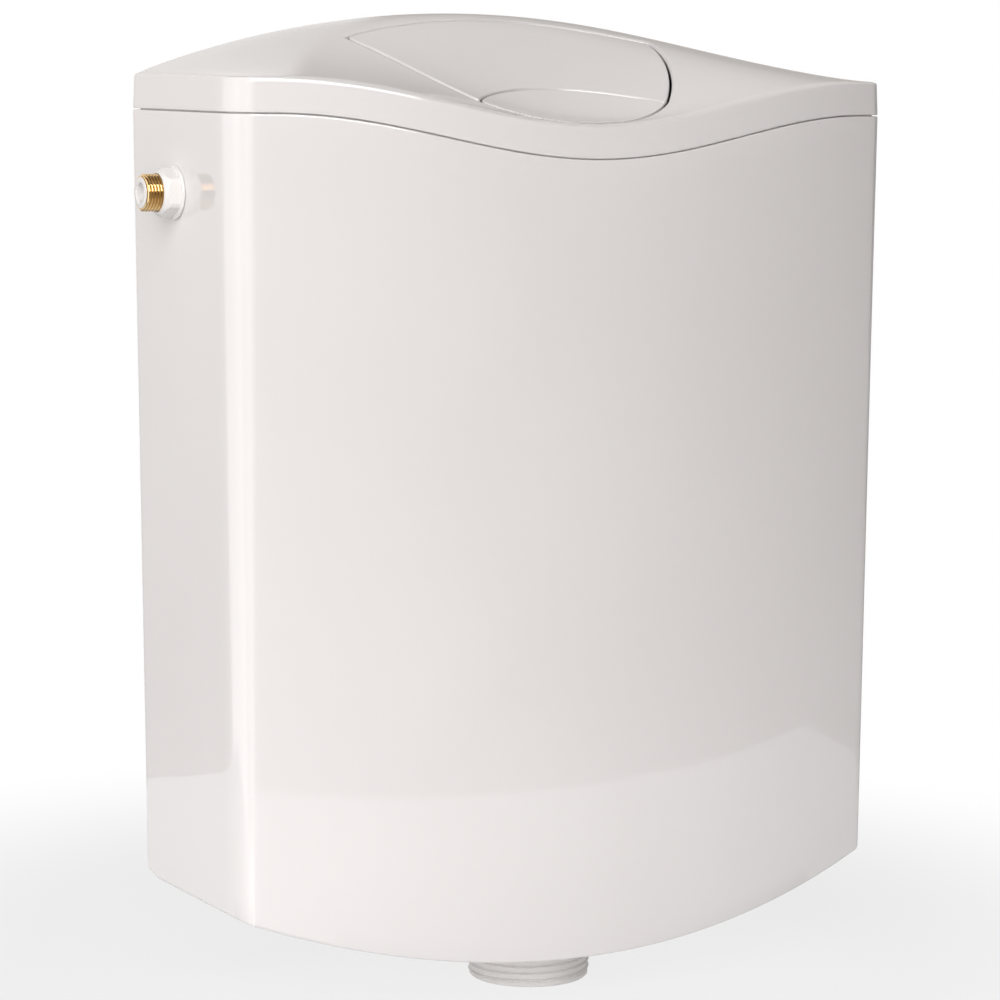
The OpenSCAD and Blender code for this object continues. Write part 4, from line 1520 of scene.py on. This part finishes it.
@dataclass
class FullButton(FlushButton):
    """Large rear button with its hinge lugs and its pusher."""

    lug_x: float = 56.0
    lug_t: float = 4.0
    lug_front: float = -52.0
    lug_rear: float = -37.0

    def build(self, paint: Paintbox) -> None:
        """Make the button and dress it.

        Args:
            paint: Finishes by slot.
        """
        field_ = self.field
        gap = field_.gap
        rear, side, _ = field_.arcs(gap)
        tip, _ = field_.corners(gap)
        split_r = field_.split_r + field_.split_gap / 2
        end = min(
            circle_cross(field_.split_centre, split_r, field_.side_centre, field_.side_r - gap),
            key=lambda point: abs(point[0] - tip[0]),
        )
        side = Arc.through(field_.side_centre, tip, end)
        split = Arc.through(field_.split_centre, end, (0.0, field_.split_centre[1] + split_r))
        fine = steps(TURN_STEPS)
        rear_end = 1 - field_.tip_cut / rear.length
        side_start, side_end = field_.tip_cut / side.length, 1 - field_.end_cut / side.length
        split_start = field_.end_cut / split.length
        tip_turn = [rounded(rear.at(rear_end), tip, side.at(side_start), share) for share in fine]
        low_turn = [rounded(side.at(side_end), end, split.at(split_start), share) for share in fine]
        rear_run = [rear.at(share * rear_end) for share in fine]
        side_run = [side.at(lerp(side_start, side_end, share)) for share in fine]
        split_run = [split.at(lerp(1.0, split_start, share)) for share in fine]
        middle = TURN_STEPS // 2
        rear_edge = mirrored(rear_run + tip_turn[1 : middle + 1])
        right_edge = tip_turn[middle:] + side_run[1:] + low_turn[1 : middle + 1]
        front_edge = mirrored(split_run + list(reversed(low_turn[middle:-1])))
        plate = self.plate(
            "flush_button_full",
            resampled(rear_edge, self.across),
            resampled(right_edge, self.down),
            resampled(front_edge, self.across),
        )
        button = joined([plate, *self.lugs(), self.pusher()])
        paint.dress(button, "button_abs", "full_button", "full_flush_button")

    def lugs(self) -> list[Piece]:
        """Lugs that turn on the hinge rod.

        Returns:
            The finished mesh objects.
        """
        x, down = self.lug_x + self.lug_t, self.thickness / 2
        front, rear = (self.form.under_face(x, y, down) for y in (self.lug_front, self.lug_rear))
        outline = [front, self.field.by_hinge(1, -1), self.field.by_hinge(-1, -1), rear]
        return [
            prism("lug", outline, hand * self.lug_x - self.lug_t / 2, self.lug_t, self.bevel)
            for hand in (-1, 1)
        ]


@dataclass
class PartialButton(FlushButton):
    """Small lens-shaped front button with its hinge arms and its pusher."""

    across: int = 80
    down: int = 14
    lean: Flat = (-0.005, -0.014)
    lean_y: float = -137.0
    pusher_y: float = -122.0
    pusher_low: float = 52.9
    arm_x: float = 48.0
    arm_t: float = 4.0
    arm_rear: float = -127.7
    arm_front: float = -139.7
    arm_top: float = 66.0
    arm_toe: float = 62.0
    arm_low: float = 58.0

    def build(self, paint: Paintbox) -> None:
        """Make the button and dress it.

        Args:
            paint: Finishes by slot.
        """
        field_ = self.field
        split_r = field_.split_r - field_.split_gap / 2
        front_r = field_.front_r - field_.gap
        end = max(circle_cross(field_.split_centre, split_r, field_.front_centre, front_r))
        split = Arc.through(field_.split_centre, (0.0, field_.split_centre[1] + split_r), end)
        front = Arc.through(field_.front_centre, (0.0, field_.front_centre[1] - front_r), end)
        fine = steps(TURN_STEPS)
        lead, past = TURN_STEPS // 4, TURN_STEPS - TURN_STEPS // 4
        cuts = 1 - field_.end_cut / split.length, 1 - field_.end_cut / front.length
        turn = [rounded(split.at(cuts[0]), end, front.at(cuts[1]), share) for share in fine]
        rear_edge = mirrored([split.at(share * cuts[0]) for share in fine] + turn[1 : lead + 1])
        front_edge = mirrored([front.at(share * cuts[1]) for share in fine] + list(reversed(turn[past:-1])))
        plate = self.plate(
            "flush_button_partial",
            resampled(rear_edge, self.across),
            resampled(turn[lead : past + 1], self.down),
            resampled(front_edge, self.across),
        )
        arms = [self.arm(hand) for hand in (-1, 1)]
        button = joined([plate, *arms, self.pusher()])
        paint.dress(button, "button_abs", "partial_button", "partial_flush_button")

    def arm(self, hand: int) -> Piece:
        """Arm that reaches back under the full button to the hinge rod.

        Args:
            hand: Side that it lies on, 1 for right and -1 for left.

        Returns:
            The finished mesh object.
        """
        down = self.thickness / 2
        tops = [self.form.under_face(self.arm_x, y, down) for y in (self.arm_rear, self.arm_front)]
        eye = [self.field.by_hinge(-1, -1), self.field.by_hinge(-1, 1), self.field.by_hinge(1, 1)]
        toe = [(self.arm_front, self.arm_toe), (self.arm_rear, self.arm_low)]
        outline = [*eye, (self.arm_rear, self.arm_top), *tops, *toe]
        return prism("arm", outline, hand * self.arm_x - self.arm_t / 2, self.arm_t, self.bevel)


@dataclass
class Inlet:
    """Brass pipe with its thread, its white sleeve and its clamping nut, on the left side."""

    spindle: Spindle = Spindle(Axis.X, (-59.0, 26.4))
    end_x: float = -233.01
    inner_x: float = -206.8
    lip_t: float = 0.35
    lip_r: float = 8.7
    mouth: Flat = (0.5, 0.25)
    pipe_end_r: float = 9.1
    pipe_chamfer: float = 0.3
    crest_r: float = 10.48
    core_r: float = 9.32
    pitch: float = 1.814
    bore_r: float = 7.5
    sleeve_r: float = 7.45
    sleeve_bore_r: float = 5.4
    nozzle_r: float = 3.1
    nozzle_bore_r: float = 1.7
    nozzle_depth: float = 4.2
    nut_front: float = -223.24
    nut_back: float = -212.24
    nut_r: float = 15.3
    nut_body_r: float = 14.1
    nut_flats: float = 25.6
    nut_crease: float = 0.2
    nut_bore_r: float = 10.66
    nose_r: float = 11.8
    nose_l: float = 3.2
    flange_t: float = 1.9
    round_edge: float = 0.5
    nose_ease: float = 0.1
    bore_bevel: float = 0.2
    nozzle_taper: float = 0.15
    thread_sharpness: float = 1.3
    thread_runout: float = 0.4
    thread_turn: float = 0.3
    columns: int = 96
    rings_per_turn: int = 14
    nut_columns: int = 216
    nut_rows: int = 30
    edge_rows: int = 3

    def pipe(self, paint: Paintbox) -> None:
        """Make the brass pipe with its helical thread.

        Args:
            paint: Finishes by slot.
        """
        start = self.end_x + self.lip_t
        thread_x = start + self.pipe_chamfer
        thread = Thread(
            self.crest_r, self.core_r, self.pitch, thread_x, self.nut_back,
            self.thread_sharpness, self.thread_runout, self.thread_turn,
        )
        columns = self.columns
        rings = [self.spindle.ring(start, self.pipe_end_r, columns)]
        rings += thread.rings(self.spindle, columns, self.rings_per_turn)
        rings += [self.spindle.ring(self.inner_x, radius, columns) for radius in (self.core_r, self.bore_r)]
        rings.append(self.spindle.ring(start, self.bore_r, columns))
        paint.dress(ring_piece("inlet_pipe", rings), "brass", "tank", "inlet_nipple")

    def sleeve(self, paint: Paintbox) -> None:
        """Make the white sleeve, whose lip covers the pipe's end.

        Args:
            paint: Finishes by slot.
        """
        end, back = self.end_x, self.inner_x
        lip, edge = self.lip_t, self.round_edge
        step_x = end + self.nozzle_depth
        mouth_l, mouth_w = self.mouth
        nozzle_x = step_x - edge
        profile = [
            (back, self.sleeve_r), (end + lip, self.sleeve_r), (end + lip, self.lip_r),
            (end + lip * ROUND_MID, self.lip_r - lip * ROUND_MID), (end, self.lip_r - lip),
            (end, self.sleeve_bore_r + mouth_w + lip), (end + lip, self.sleeve_bore_r + mouth_w),
            (end + mouth_l, self.sleeve_bore_r), (step_x + edge, self.sleeve_bore_r),
            (step_x + edge, self.nozzle_r), (nozzle_x, self.nozzle_r - self.nozzle_taper),
            (nozzle_x, self.nozzle_bore_r), (back, self.nozzle_bore_r),
        ]
        paint.dress(self.spindle.turned("inlet_sleeve_lip", profile), "white_pp", "tank", "inlet_sleeve")

    def nut_radius(self, along: float) -> Radius:
        """Radius of the nut's hexagon and cone at a place along it.

        Args:
            along: Place along the pipe.

        Returns:
            Function that gives the radius for an angle.
        """
        cone = lerp(self.nose_r, self.nut_body_r, clamp((along - self.nut_front) / self.nose_l))

        def at(angle: float) -> float:
            """Radius at an angle round the pipe."""
            turn = (angle + math.pi / 6) % (math.pi / 3) - math.pi / 6
            return soft_min(self.nut_flats / 2 / math.cos(turn), cone, self.nut_crease)

        return at

    def nut(self, paint: Paintbox) -> None:
        """Make the clamping nut with its coned front and its flange.

        Args:
            paint: Finishes by slot.
        """
        columns = self.nut_columns
        edge = self.round_edge
        flange_x = self.nut_back - self.flange_t
        ring = self.spindle.ring
        rings = [ring(self.nut_back, radius, columns) for radius in (self.nut_bore_r, self.nut_r - edge)]
        for inset, drop in reversed(quarter(edge, self.edge_rows)[:-1]):
            rings.append(ring(self.nut_back - drop, self.nut_r - inset, columns))
        rings.append(ring(flange_x + edge, self.nut_r, columns))
        rings.append(ring(flange_x + edge * ROUND_MID, self.nut_r - edge * ROUND_MID, columns))
        for share in steps(self.nut_rows):
            along = lerp(flange_x, self.nut_front + edge, share)
            rings.append(ring(along, self.nut_radius(along), columns))
        rings.append(ring(self.nut_front + edge * ROUND_MID, self.nose_r - edge * self.nose_ease, columns))
        rings.append(ring(self.nut_front, self.nose_r - edge, columns))
        rings.append(ring(self.nut_front, self.nut_bore_r + self.bore_bevel, columns))
        rings.append(ring(self.nut_front + self.bore_bevel, self.nut_bore_r, columns))
        paint.dress(ring_piece("inlet_clamp_nut", rings), "white_pp", "tank", "inlet_nut")

    def build(self, paint: Paintbox) -> None:
        """Make the pipe, the sleeve and the nut.

        Args:
            paint: Finishes by slot.
        """
        self.pipe(paint)
        self.sleeve(paint)
        self.nut(paint)


@dataclass
class Outlet:
    """Threaded seat of the flush valve and its locknut, under the tank."""

    spindle: Spindle = Spindle(Axis.Z, (0.0, -89.0))
    low: float = -438.5
    thread_end: float = -419.0
    lead: float = 1.4
    band_r: float = 35.3
    band_l: float = 2.4
    band_slope: float = 0.9
    crest_r: float = 36.0
    core_r: float = 34.6
    pitch: float = 4.0
    bore_r: float = 28.0
    end_bevel: float = 0.8
    flange_low: float = -403.0
    flange_high: float = -398.0
    flange_r: float = 46.0
    lip_r: float = 30.0
    lip_high: float = -394.0
    nut_low: float = -419.0
    nut_high: float = -412.0
    nut_r: float = 44.0
    nut_bore_r: float = 34.45
    grip_count: int = 12
    grip_depth: float = 2.4
    edge: float = 0.6
    columns: int = 144
    thread_sharpness: float = 8.0
    thread_runout: float = 1.6
    rings_per_turn: int = 20
    grip_power: int = 3

    def tail_radius(self, thread: Thread, along: float) -> Radius:
        """Radius of the threaded tail, with the plain band at its end.

        Args:
            thread: Thread on the tail.
            along: Place along the tail.

        Returns:
            Function that gives the radius for an angle.
        """
        ridge = thread.radius(along)
        past = clamp((along - self.low - self.band_l) / self.band_slope)
        band = lerp(self.band_r, self.core_r, past)
        return lambda angle: max(ridge(angle), band)

    def seat(self, paint: Paintbox) -> None:
        """Make the valve seat with its threaded tail.

        Args:
            paint: Finishes by slot.
        """
        ring = self.spindle.ring
        thread = Thread(
            self.crest_r, self.core_r, self.pitch, self.low + self.lead, self.thread_end,
            self.thread_sharpness, self.thread_runout,
        )
        edge = self.edge
        rings = [
            ring(self.low, self.bore_r + edge, self.columns),
            ring(self.low, self.band_r - self.end_bevel, self.columns),
            ring(self.low + self.end_bevel, self.band_r, self.columns),
        ]
        count = round((self.thread_end - self.low - self.lead) / self.pitch * self.rings_per_turn)
        for share in steps(count):
            along = lerp(thread.start, thread.end, share)
            rings.append(ring(along, self.tail_radius(thread, along), self.columns))
        upper = [
            (self.flange_low, self.core_r), (self.flange_low, self.flange_r - edge),
            (self.flange_low + edge, self.flange_r), (self.flange_high - edge, self.flange_r),
            (self.flange_high, self.flange_r - edge), (self.flange_high, self.lip_r),
            (self.lip_high - edge, self.lip_r), (self.lip_high, self.lip_r - edge),
            (self.lip_high, self.bore_r + edge), (self.lip_high - edge, self.bore_r),
            (self.low + edge, self.bore_r),
        ]
        rings += [ring(along, radius, self.columns) for along, radius in upper]
        paint.dress(ring_piece("outlet_seat", rings), "white_pp", "tank", "valve_seat")

    def grip_r(self, angle: float) -> float:
        """Radius of the locknut's gripped edge at an angle."""
        wave = 0.5 + 0.5 * math.cos(self.grip_count * angle)
        return self.nut_r - self.grip_depth * (1 - wave) ** self.grip_power

    def locknut(self, paint: Paintbox) -> None:
        """Make the locknut with grips round its edge.

        Args:
            paint: Finishes by slot.
        """
        edge = self.edge
        ring = self.spindle.ring
        columns = 2 * self.columns
        rings = [
            ring(self.nut_low, self.nut_bore_r, columns),
            ring(self.nut_low, lambda angle: self.grip_r(angle) - edge, columns),
            ring(self.nut_low + edge, self.grip_r, columns),
            ring(self.nut_high - edge, self.grip_r, columns),
            ring(self.nut_high, lambda angle: self.grip_r(angle) - edge, columns),
            ring(self.nut_high, self.nut_bore_r, columns),
        ]
        paint.dress(ring_piece("outlet_grip_nut", rings), "white_pp", "tank", "outlet_locknut")

    def build(self, paint: Paintbox) -> None:
        """Make the seat and the locknut.

        Args:
            paint: Finishes by slot.
        """
        self.seat(paint)
        self.locknut(paint)


@dataclass
class SidePlug:
    """Plug that closes the unused inlet hole on the right side."""

    spindle: Spindle = Spindle(Axis.X, (-59.0, 26.4))
    face_x: float = 214.24
    wall_x: float = 212.24
    inner_x: float = 195.74
    head_r: float = 15.3
    stem_r: float = 9.32
    stem_bore_r: float = 6.5
    dish_r: float = 9.0
    dish: float = 0.7
    edge: float = 0.8
    edge_rows: int = 5
    hub_r: float = 0.05

    def build(self, paint: Paintbox) -> None:
        """Make the plug and dress it.

        Args:
            paint: Finishes by slot.
        """
        dish_x, root_x = self.face_x - self.dish, self.wall_x - self.dish
        profile = [
            (self.inner_x, self.stem_bore_r), (self.inner_x, self.stem_r), (self.wall_x, self.stem_r),
            (self.wall_x, self.head_r),
        ]
        rim = quarter(self.edge, self.edge_rows)
        profile += [(self.face_x - drop, self.head_r - inset) for inset, drop in rim]
        profile += [
            (self.face_x, self.dish_r + self.dish), (dish_x, self.dish_r), (dish_x, self.hub_r),
            (root_x, self.hub_r), (root_x, self.stem_bore_r),
        ]
        plug = self.spindle.turned("side_hole_plug", profile)
        paint.dress(plug, "white_pp", "tank", "side_plug")


@dataclass(frozen=True)
class Lamp:
    """Soft lamp, placed by its direction from the object, in degrees, metres and watts."""

    name: str
    azimuth: float
    elevation: float
    distance: float
    width: float
    height: float
    power: float
    mirrored: bool = False
    lights: bool = True


@dataclass(frozen=True)
class Masks:
    """Masks that are mixed in one node tree, for the floor's paint or for the world."""

    tree: Tree

    def fold(self, operation: str, *masks: Socket) -> Socket:
        """Combine masks one after another.

        Args:
            operation: Operation of the math nodes.
            *masks: Sockets to combine.

        Returns:
            Socket of the result.
        """
        result = masks[0]
        for mask in masks[1:]:
            node = self.tree.nodes.new("ShaderNodeMath")
            node.operation = operation
            self.tree.links.new(result, node.inputs[0])
            self.tree.links.new(mask, node.inputs[1])
            result = node.outputs[0]
        return result

    def product(self, *masks: Socket) -> Socket:
        """Multiply masks."""
        return self.fold("MULTIPLY", *masks)

    def rays(self, *kinds: str) -> Socket:
        """Mask of the rays that are of one of some kinds."""
        path = self.tree.nodes.new("ShaderNodeLightPath")
        return self.fold("MAXIMUM", *(path.outputs[f"Is {kind} Ray"] for kind in kinds))

    def seen(self) -> Socket:
        """Mask of the rays that show a surface as it looks: seen, mirrored or through glass."""
        return self.rays("Camera", "Glossy", "Transmission")

    def step(self, value: Socket, limits: Flat, results: Flat = RISE) -> Socket:
        """Map a value between two limits to two results, smoothly.

        Args:
            value: Socket to map.
            limits: Values where the step starts and ends.
            results: Results at those values.

        Returns:
            Socket of the result.
        """
        node = self.tree.nodes.new("ShaderNodeMapRange")
        node.interpolation_type = "SMOOTHSTEP"
        for label, number in zip(("From Min", "From Max", "To Min", "To Max"), (*limits, *results)):
            node.inputs[label].default_value = number
        self.tree.links.new(value, node.inputs["Value"])
        return node.outputs["Result"]

    def along(self, way: Point) -> Socket:
        """Share of a ray's direction in the world that lies along a way.

        Args:
            way: Direction of length 1.

        Returns:
            Socket of the share.
        """
        place = self.tree.nodes.new("ShaderNodeTexCoord")
        node = self.tree.nodes.new("ShaderNodeVectorMath")
        node.operation = "DOT_PRODUCT"
        node.inputs[1].default_value = way
        self.tree.links.new(place.outputs["Generated"], node.inputs[0])
        return node.outputs["Value"]

    def band(self, degrees: Flat, results: Flat = RISE) -> Socket:
        """Smooth step between two elevations, in degrees."""
        low, high = (math.sin(math.radians(angle)) for angle in degrees)
        return self.step(self.along((0.0, 0.0, 1.0)), (low, high), results)

    def across(self, degrees: float, limits: Flat, results: Flat = RISE) -> Socket:
        """Smooth step across an upright plane that is turned by some degrees."""
        turn = math.radians(degrees)
        return self.step(self.along((math.cos(turn), -math.sin(turn), 0.0)), limits, results)


@dataclass
class Studio:
    """Floor, backdrop, lamps and camera."""

    floor_z: float = -438.6
    floor_size: float = 1280.0
    floor_turn: float = 10.5
    floor_middle: Flat = (0.0, -50.0)
    floor_colour: Point = (0.5, 0.5, 0.51)
    floor_glow: float = 0.29
    shade_kept: float = 0.2
    shade_reach: Flat = (250.0, 620.0)
    key: Lamp = Lamp("key_lamp", 41.0, 19.0, 2.8, 3.4, 3.4, 107.0)
    side: Lamp = Lamp("side_lamp", 100.0, 12.0, 2.6, 2.4, 2.4, 12.0)
    gleam: Lamp = Lamp("gleam_lamp", 13.0, 34.0, 2.6, 2.6, 1.9, 120.0, mirrored=True, lights=False)
    lamp_colour: Point = (1.0, 0.985, 0.98)
    aim: Point = (0.0, -0.08, -0.17)
    fill_strength: float = 0.11
    fill_colour: Point = (1.0, 0.96, 0.94)
    room_colour: Point = (0.15, 0.12, 0.1)
    ceiling_colour: Point = (1.36, 1.3, 1.26)
    ceiling_rise: Flat = (12.0, 44.0)
    ceiling_top: Flat = (55.0, 66.0)
    ceiling_least: float = 0.36
    ceiling_turn: float = 18.0
    ceiling_edge: Flat = (-0.04, 0.08)
    wing_colour: Point = (1.04, 1.0, 0.98)
    wing_turn: float = 26.0
    wing_edge: Flat = (-0.01, 0.02)
    wing_foot: Flat = (-11.0, -1.0)
    wing_top: Flat = (30.0, 38.0)
    box_colour: Point = (1.9, 1.87, 1.85)
    box_turn: Flat = (-76.0, -31.0)
    box_edge: float = 0.1
    box_foot: Flat = (-17.0, -12.0)
    box_top: Flat = (20.0, 27.0)
    level: Flat = (-0.5, 1.0)
    behind: Flat = (0.0, 0.2)
    ground_colour: Point = (0.52, 0.5, 0.49)
    paper_colour: Point = (1.0, 1.0, 1.0)
    sweep_elevation: Flat = (-2.0, -1.0)
    sweep_half_width: Flat = (34.0, 30.0)
    camera_place: Point = (-0.93605, -1.73244, 0.06890)
    camera_yaw: float = 29.12
    camera_pitch: float = 6.74
    camera_roll: float = 0.0038
    lens: float = 116.708
    sensor: float = 36.0

    def floor(self) -> None:
        """Make the plain pale floor, which fades to white away from the object and its shadow."""
        deselect()
        bpy.ops.mesh.primitive_plane_add(size=self.floor_size * MM)
        piece = named("floor")
        piece.rotation_euler = (0.0, 0.0, math.radians(self.floor_turn))
        piece.location = (self.floor_middle[0] * MM, self.floor_middle[1] * MM, self.floor_z * MM)
        bpy.ops.object.transform_apply(location=True, rotation=True, scale=True)
        material = bpy.data.materials.new("floor_paint")
        material.use_nodes = True
        tree = material.node_tree
        tree.nodes.remove(tree.nodes["Principled BSDF"])
        paint = tree.nodes.new("ShaderNodeBsdfDiffuse")
        paint.inputs["Color"].default_value = (*self.floor_colour, 1.0)
        white = tree.nodes.new("ShaderNodeEmission")
        place = tree.nodes.new("ShaderNodeTexCoord")
        reach = tree.nodes.new("ShaderNodeVectorMath")
        reach.operation = "LENGTH"
        centre = tree.nodes.new("ShaderNodeMapping")
        centre.inputs["Location"].default_value = (0.0, 0.0, -self.floor_z * MM)
        tree.links.new(place.outputs["Object"], centre.inputs["Vector"])
        tree.links.new(centre.outputs["Vector"], reach.inputs[0])
        masks = Masks(tree)
        seen = masks.seen()
        near, far = (limit * MM for limit in self.shade_reach)
        away = masks.step(reach.outputs["Value"], (near, far), (1 - self.shade_kept, 1.0))
        glow = tree.nodes.new("ShaderNodeEmission")
        tree.links.new(masks.step(seen, RISE, (self.floor_glow, 0.0)), glow.inputs["Strength"])
        lit = tree.nodes.new("ShaderNodeAddShader")
        tree.links.new(paint.outputs[0], lit.inputs[0])
        tree.links.new(glow.outputs[0], lit.inputs[1])
        mix = tree.nodes.new("ShaderNodeMixShader")
        tree.links.new(masks.product(away, seen), mix.inputs[0])
        tree.links.new(lit.outputs[0], mix.inputs[1])
        tree.links.new(white.outputs[0], mix.inputs[2])
        tree.links.new(mix.outputs[0], tree.nodes["Material Output"].inputs["Surface"])
        piece.data.materials.append(material)
        piece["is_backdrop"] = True

    def panels(self, masks: Masks) -> list[tuple[Socket, Point]]:
        """Panels that the object mirrors, and the white paper behind it.

        Args:
            masks: Masks of the world's node tree.

        Returns:
            Mask and colour of each panel, in the order that they are laid in.
        """
        rear = masks.step(masks.along((0.0, 1.0, 0.0)), self.behind)
        ground = masks.product(masks.band(self.level, FALL), rear)
        ceiling = masks.product(
            masks.band(self.ceiling_rise, (self.ceiling_least, 1.0)),
            masks.band(self.ceiling_top, FALL),
            masks.across(self.ceiling_turn, self.ceiling_edge),
            masks.band(self.level),
            rear,
        )
        wing = masks.product(
            masks.band(self.wing_foot),
            masks.band(self.wing_top, FALL),
            masks.across(self.wing_turn, self.wing_edge, FALL),
            rear,
        )
        box = masks.product(
            masks.band(self.box_foot),
            masks.band(self.box_top, FALL),
            masks.across(self.box_turn[0], (0.0, self.box_edge)),
            masks.across(self.box_turn[1], (-self.box_edge, 0.0), FALL),
        )
        yaw = math.radians(self.camera_yaw)
        outer, inner = (math.cos(math.radians(angle)) for angle in self.sweep_half_width)
        sweep = masks.product(
            masks.band(self.sweep_elevation, FALL),
            masks.step(masks.along((math.sin(yaw), math.cos(yaw), 0.0)), (outer, inner)),
        )
        paper = masks.fold("MAXIMUM", sweep, masks.rays("Camera"))
        return [
            (ground, self.ground_colour),
            (ceiling, self.ceiling_colour),
            (wing, self.wing_colour),
            (box, self.box_colour),
            (paper, self.paper_colour),
        ]

    def world(self) -> None:
        """Light the scene evenly, and show the panels and the paper to seen and mirrored rays."""
        world = bpy.data.worlds.new("studio")
        bpy.context.scene.world = world
        world.use_nodes = True
        tree = world.node_tree
        tree.nodes.clear()
        masks = Masks(tree)
        room = tree.nodes.new("ShaderNodeRGB")
        room.outputs[0].default_value = (*self.room_colour, 1.0)
        view = room.outputs[0]
        for mask, colour in self.panels(masks):
            laid = tree.nodes.new("ShaderNodeMixRGB")
            laid.inputs[2].default_value = (*colour, 1.0)
            tree.links.new(mask, laid.inputs[0])
            tree.links.new(view, laid.inputs[1])
            view = laid.outputs[0]
        fill = tree.nodes.new("ShaderNodeBackground")
        fill.inputs["Color"].default_value = (*self.fill_colour, 1.0)
        fill.inputs["Strength"].default_value = self.fill_strength
        backdrop = tree.nodes.new("ShaderNodeBackground")
        tree.links.new(view, backdrop.inputs["Color"])
        mix = tree.nodes.new("ShaderNodeMixShader")
        tree.links.new(masks.seen(), mix.inputs[0])
        tree.links.new(fill.outputs[0], mix.inputs[1])
        tree.links.new(backdrop.outputs[0], mix.inputs[2])
        out = tree.nodes.new("ShaderNodeOutputWorld")
        tree.links.new(mix.outputs[0], out.inputs["Surface"])

    def hang(self, lamp: Lamp) -> None:
        """Hang a soft lamp that points at the object.

        Args:
            lamp: Lamp to hang.
        """
        light = bpy.data.lights.new(lamp.name, "AREA")
        light.shape = "RECTANGLE"
        light.size = lamp.width
        light.size_y = lamp.height
        light.energy = lamp.power
        light.color = self.lamp_colour
        holder = bpy.data.objects.new(lamp.name, light)
        holder.visible_glossy = lamp.mirrored
        holder.visible_diffuse = lamp.lights
        bpy.context.collection.objects.link(holder)
        around, up = math.radians(lamp.azimuth), math.radians(lamp.elevation)
        way = Vector((-math.sin(around) * math.cos(up), -math.cos(around) * math.cos(up), math.sin(up)))
        place = Vector(self.aim) + lamp.distance * way
        holder.matrix_world = Matrix.Translation(place) @ way.to_track_quat("Z", "Y").to_matrix().to_4x4()

    def camera(self) -> None:
        """Set the camera at the photograph's angle."""
        yaw, pitch = math.radians(self.camera_yaw), math.radians(self.camera_pitch)
        forward = Vector((math.sin(yaw) * math.cos(pitch), math.cos(yaw) * math.cos(pitch), -math.sin(pitch)))
        right = Vector((math.cos(yaw), -math.sin(yaw), 0.0))
        up = right.cross(forward)
        turn, rise = math.cos(self.camera_roll), math.sin(self.camera_roll)
        level = turn * right + rise * up
        upright = turn * up - rise * right
        data = bpy.data.cameras.new("camera")
        data.lens = self.lens
        data.sensor_width = self.sensor
        camera = bpy.data.objects.new("camera", data)
        bpy.context.collection.objects.link(camera)
        axes = Matrix((level, upright, -forward)).transposed().to_4x4()
        camera.matrix_world = Matrix.Translation(self.camera_place) @ axes
        bpy.context.scene.camera = camera

    def build(self) -> None:
        """Set up the whole studio."""
        self.floor()
        self.world()
        for lamp in (self.key, self.side, self.gleam):
            self.hang(lamp)
        self.camera()
        bpy.context.scene.view_settings.view_transform = "Standard"


def main() -> None:
    """Build the cistern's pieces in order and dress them."""
    logging.basicConfig(level=logging.INFO, format="%(message)s")
    paint = Paintbox.mixed()
    form = BodyForm()
    button_field = ButtonField(form)
    Tank(form).build(paint)
    Lid(form, button_field).build(paint)
    FullButton(form, button_field).build(paint)
    PartialButton(form, button_field).build(paint)
    Inlet().build(paint)
    Outlet().build(paint)
    SidePlug().build(paint)
    paint.dress_nodes()
    Studio().build()
    boxes = {"cad": CAD_BOX, "visual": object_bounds()}
    {name: [list(corner) for corner in box] for name, box in boxes.items()}


if __name__ == "__main__":
    main()
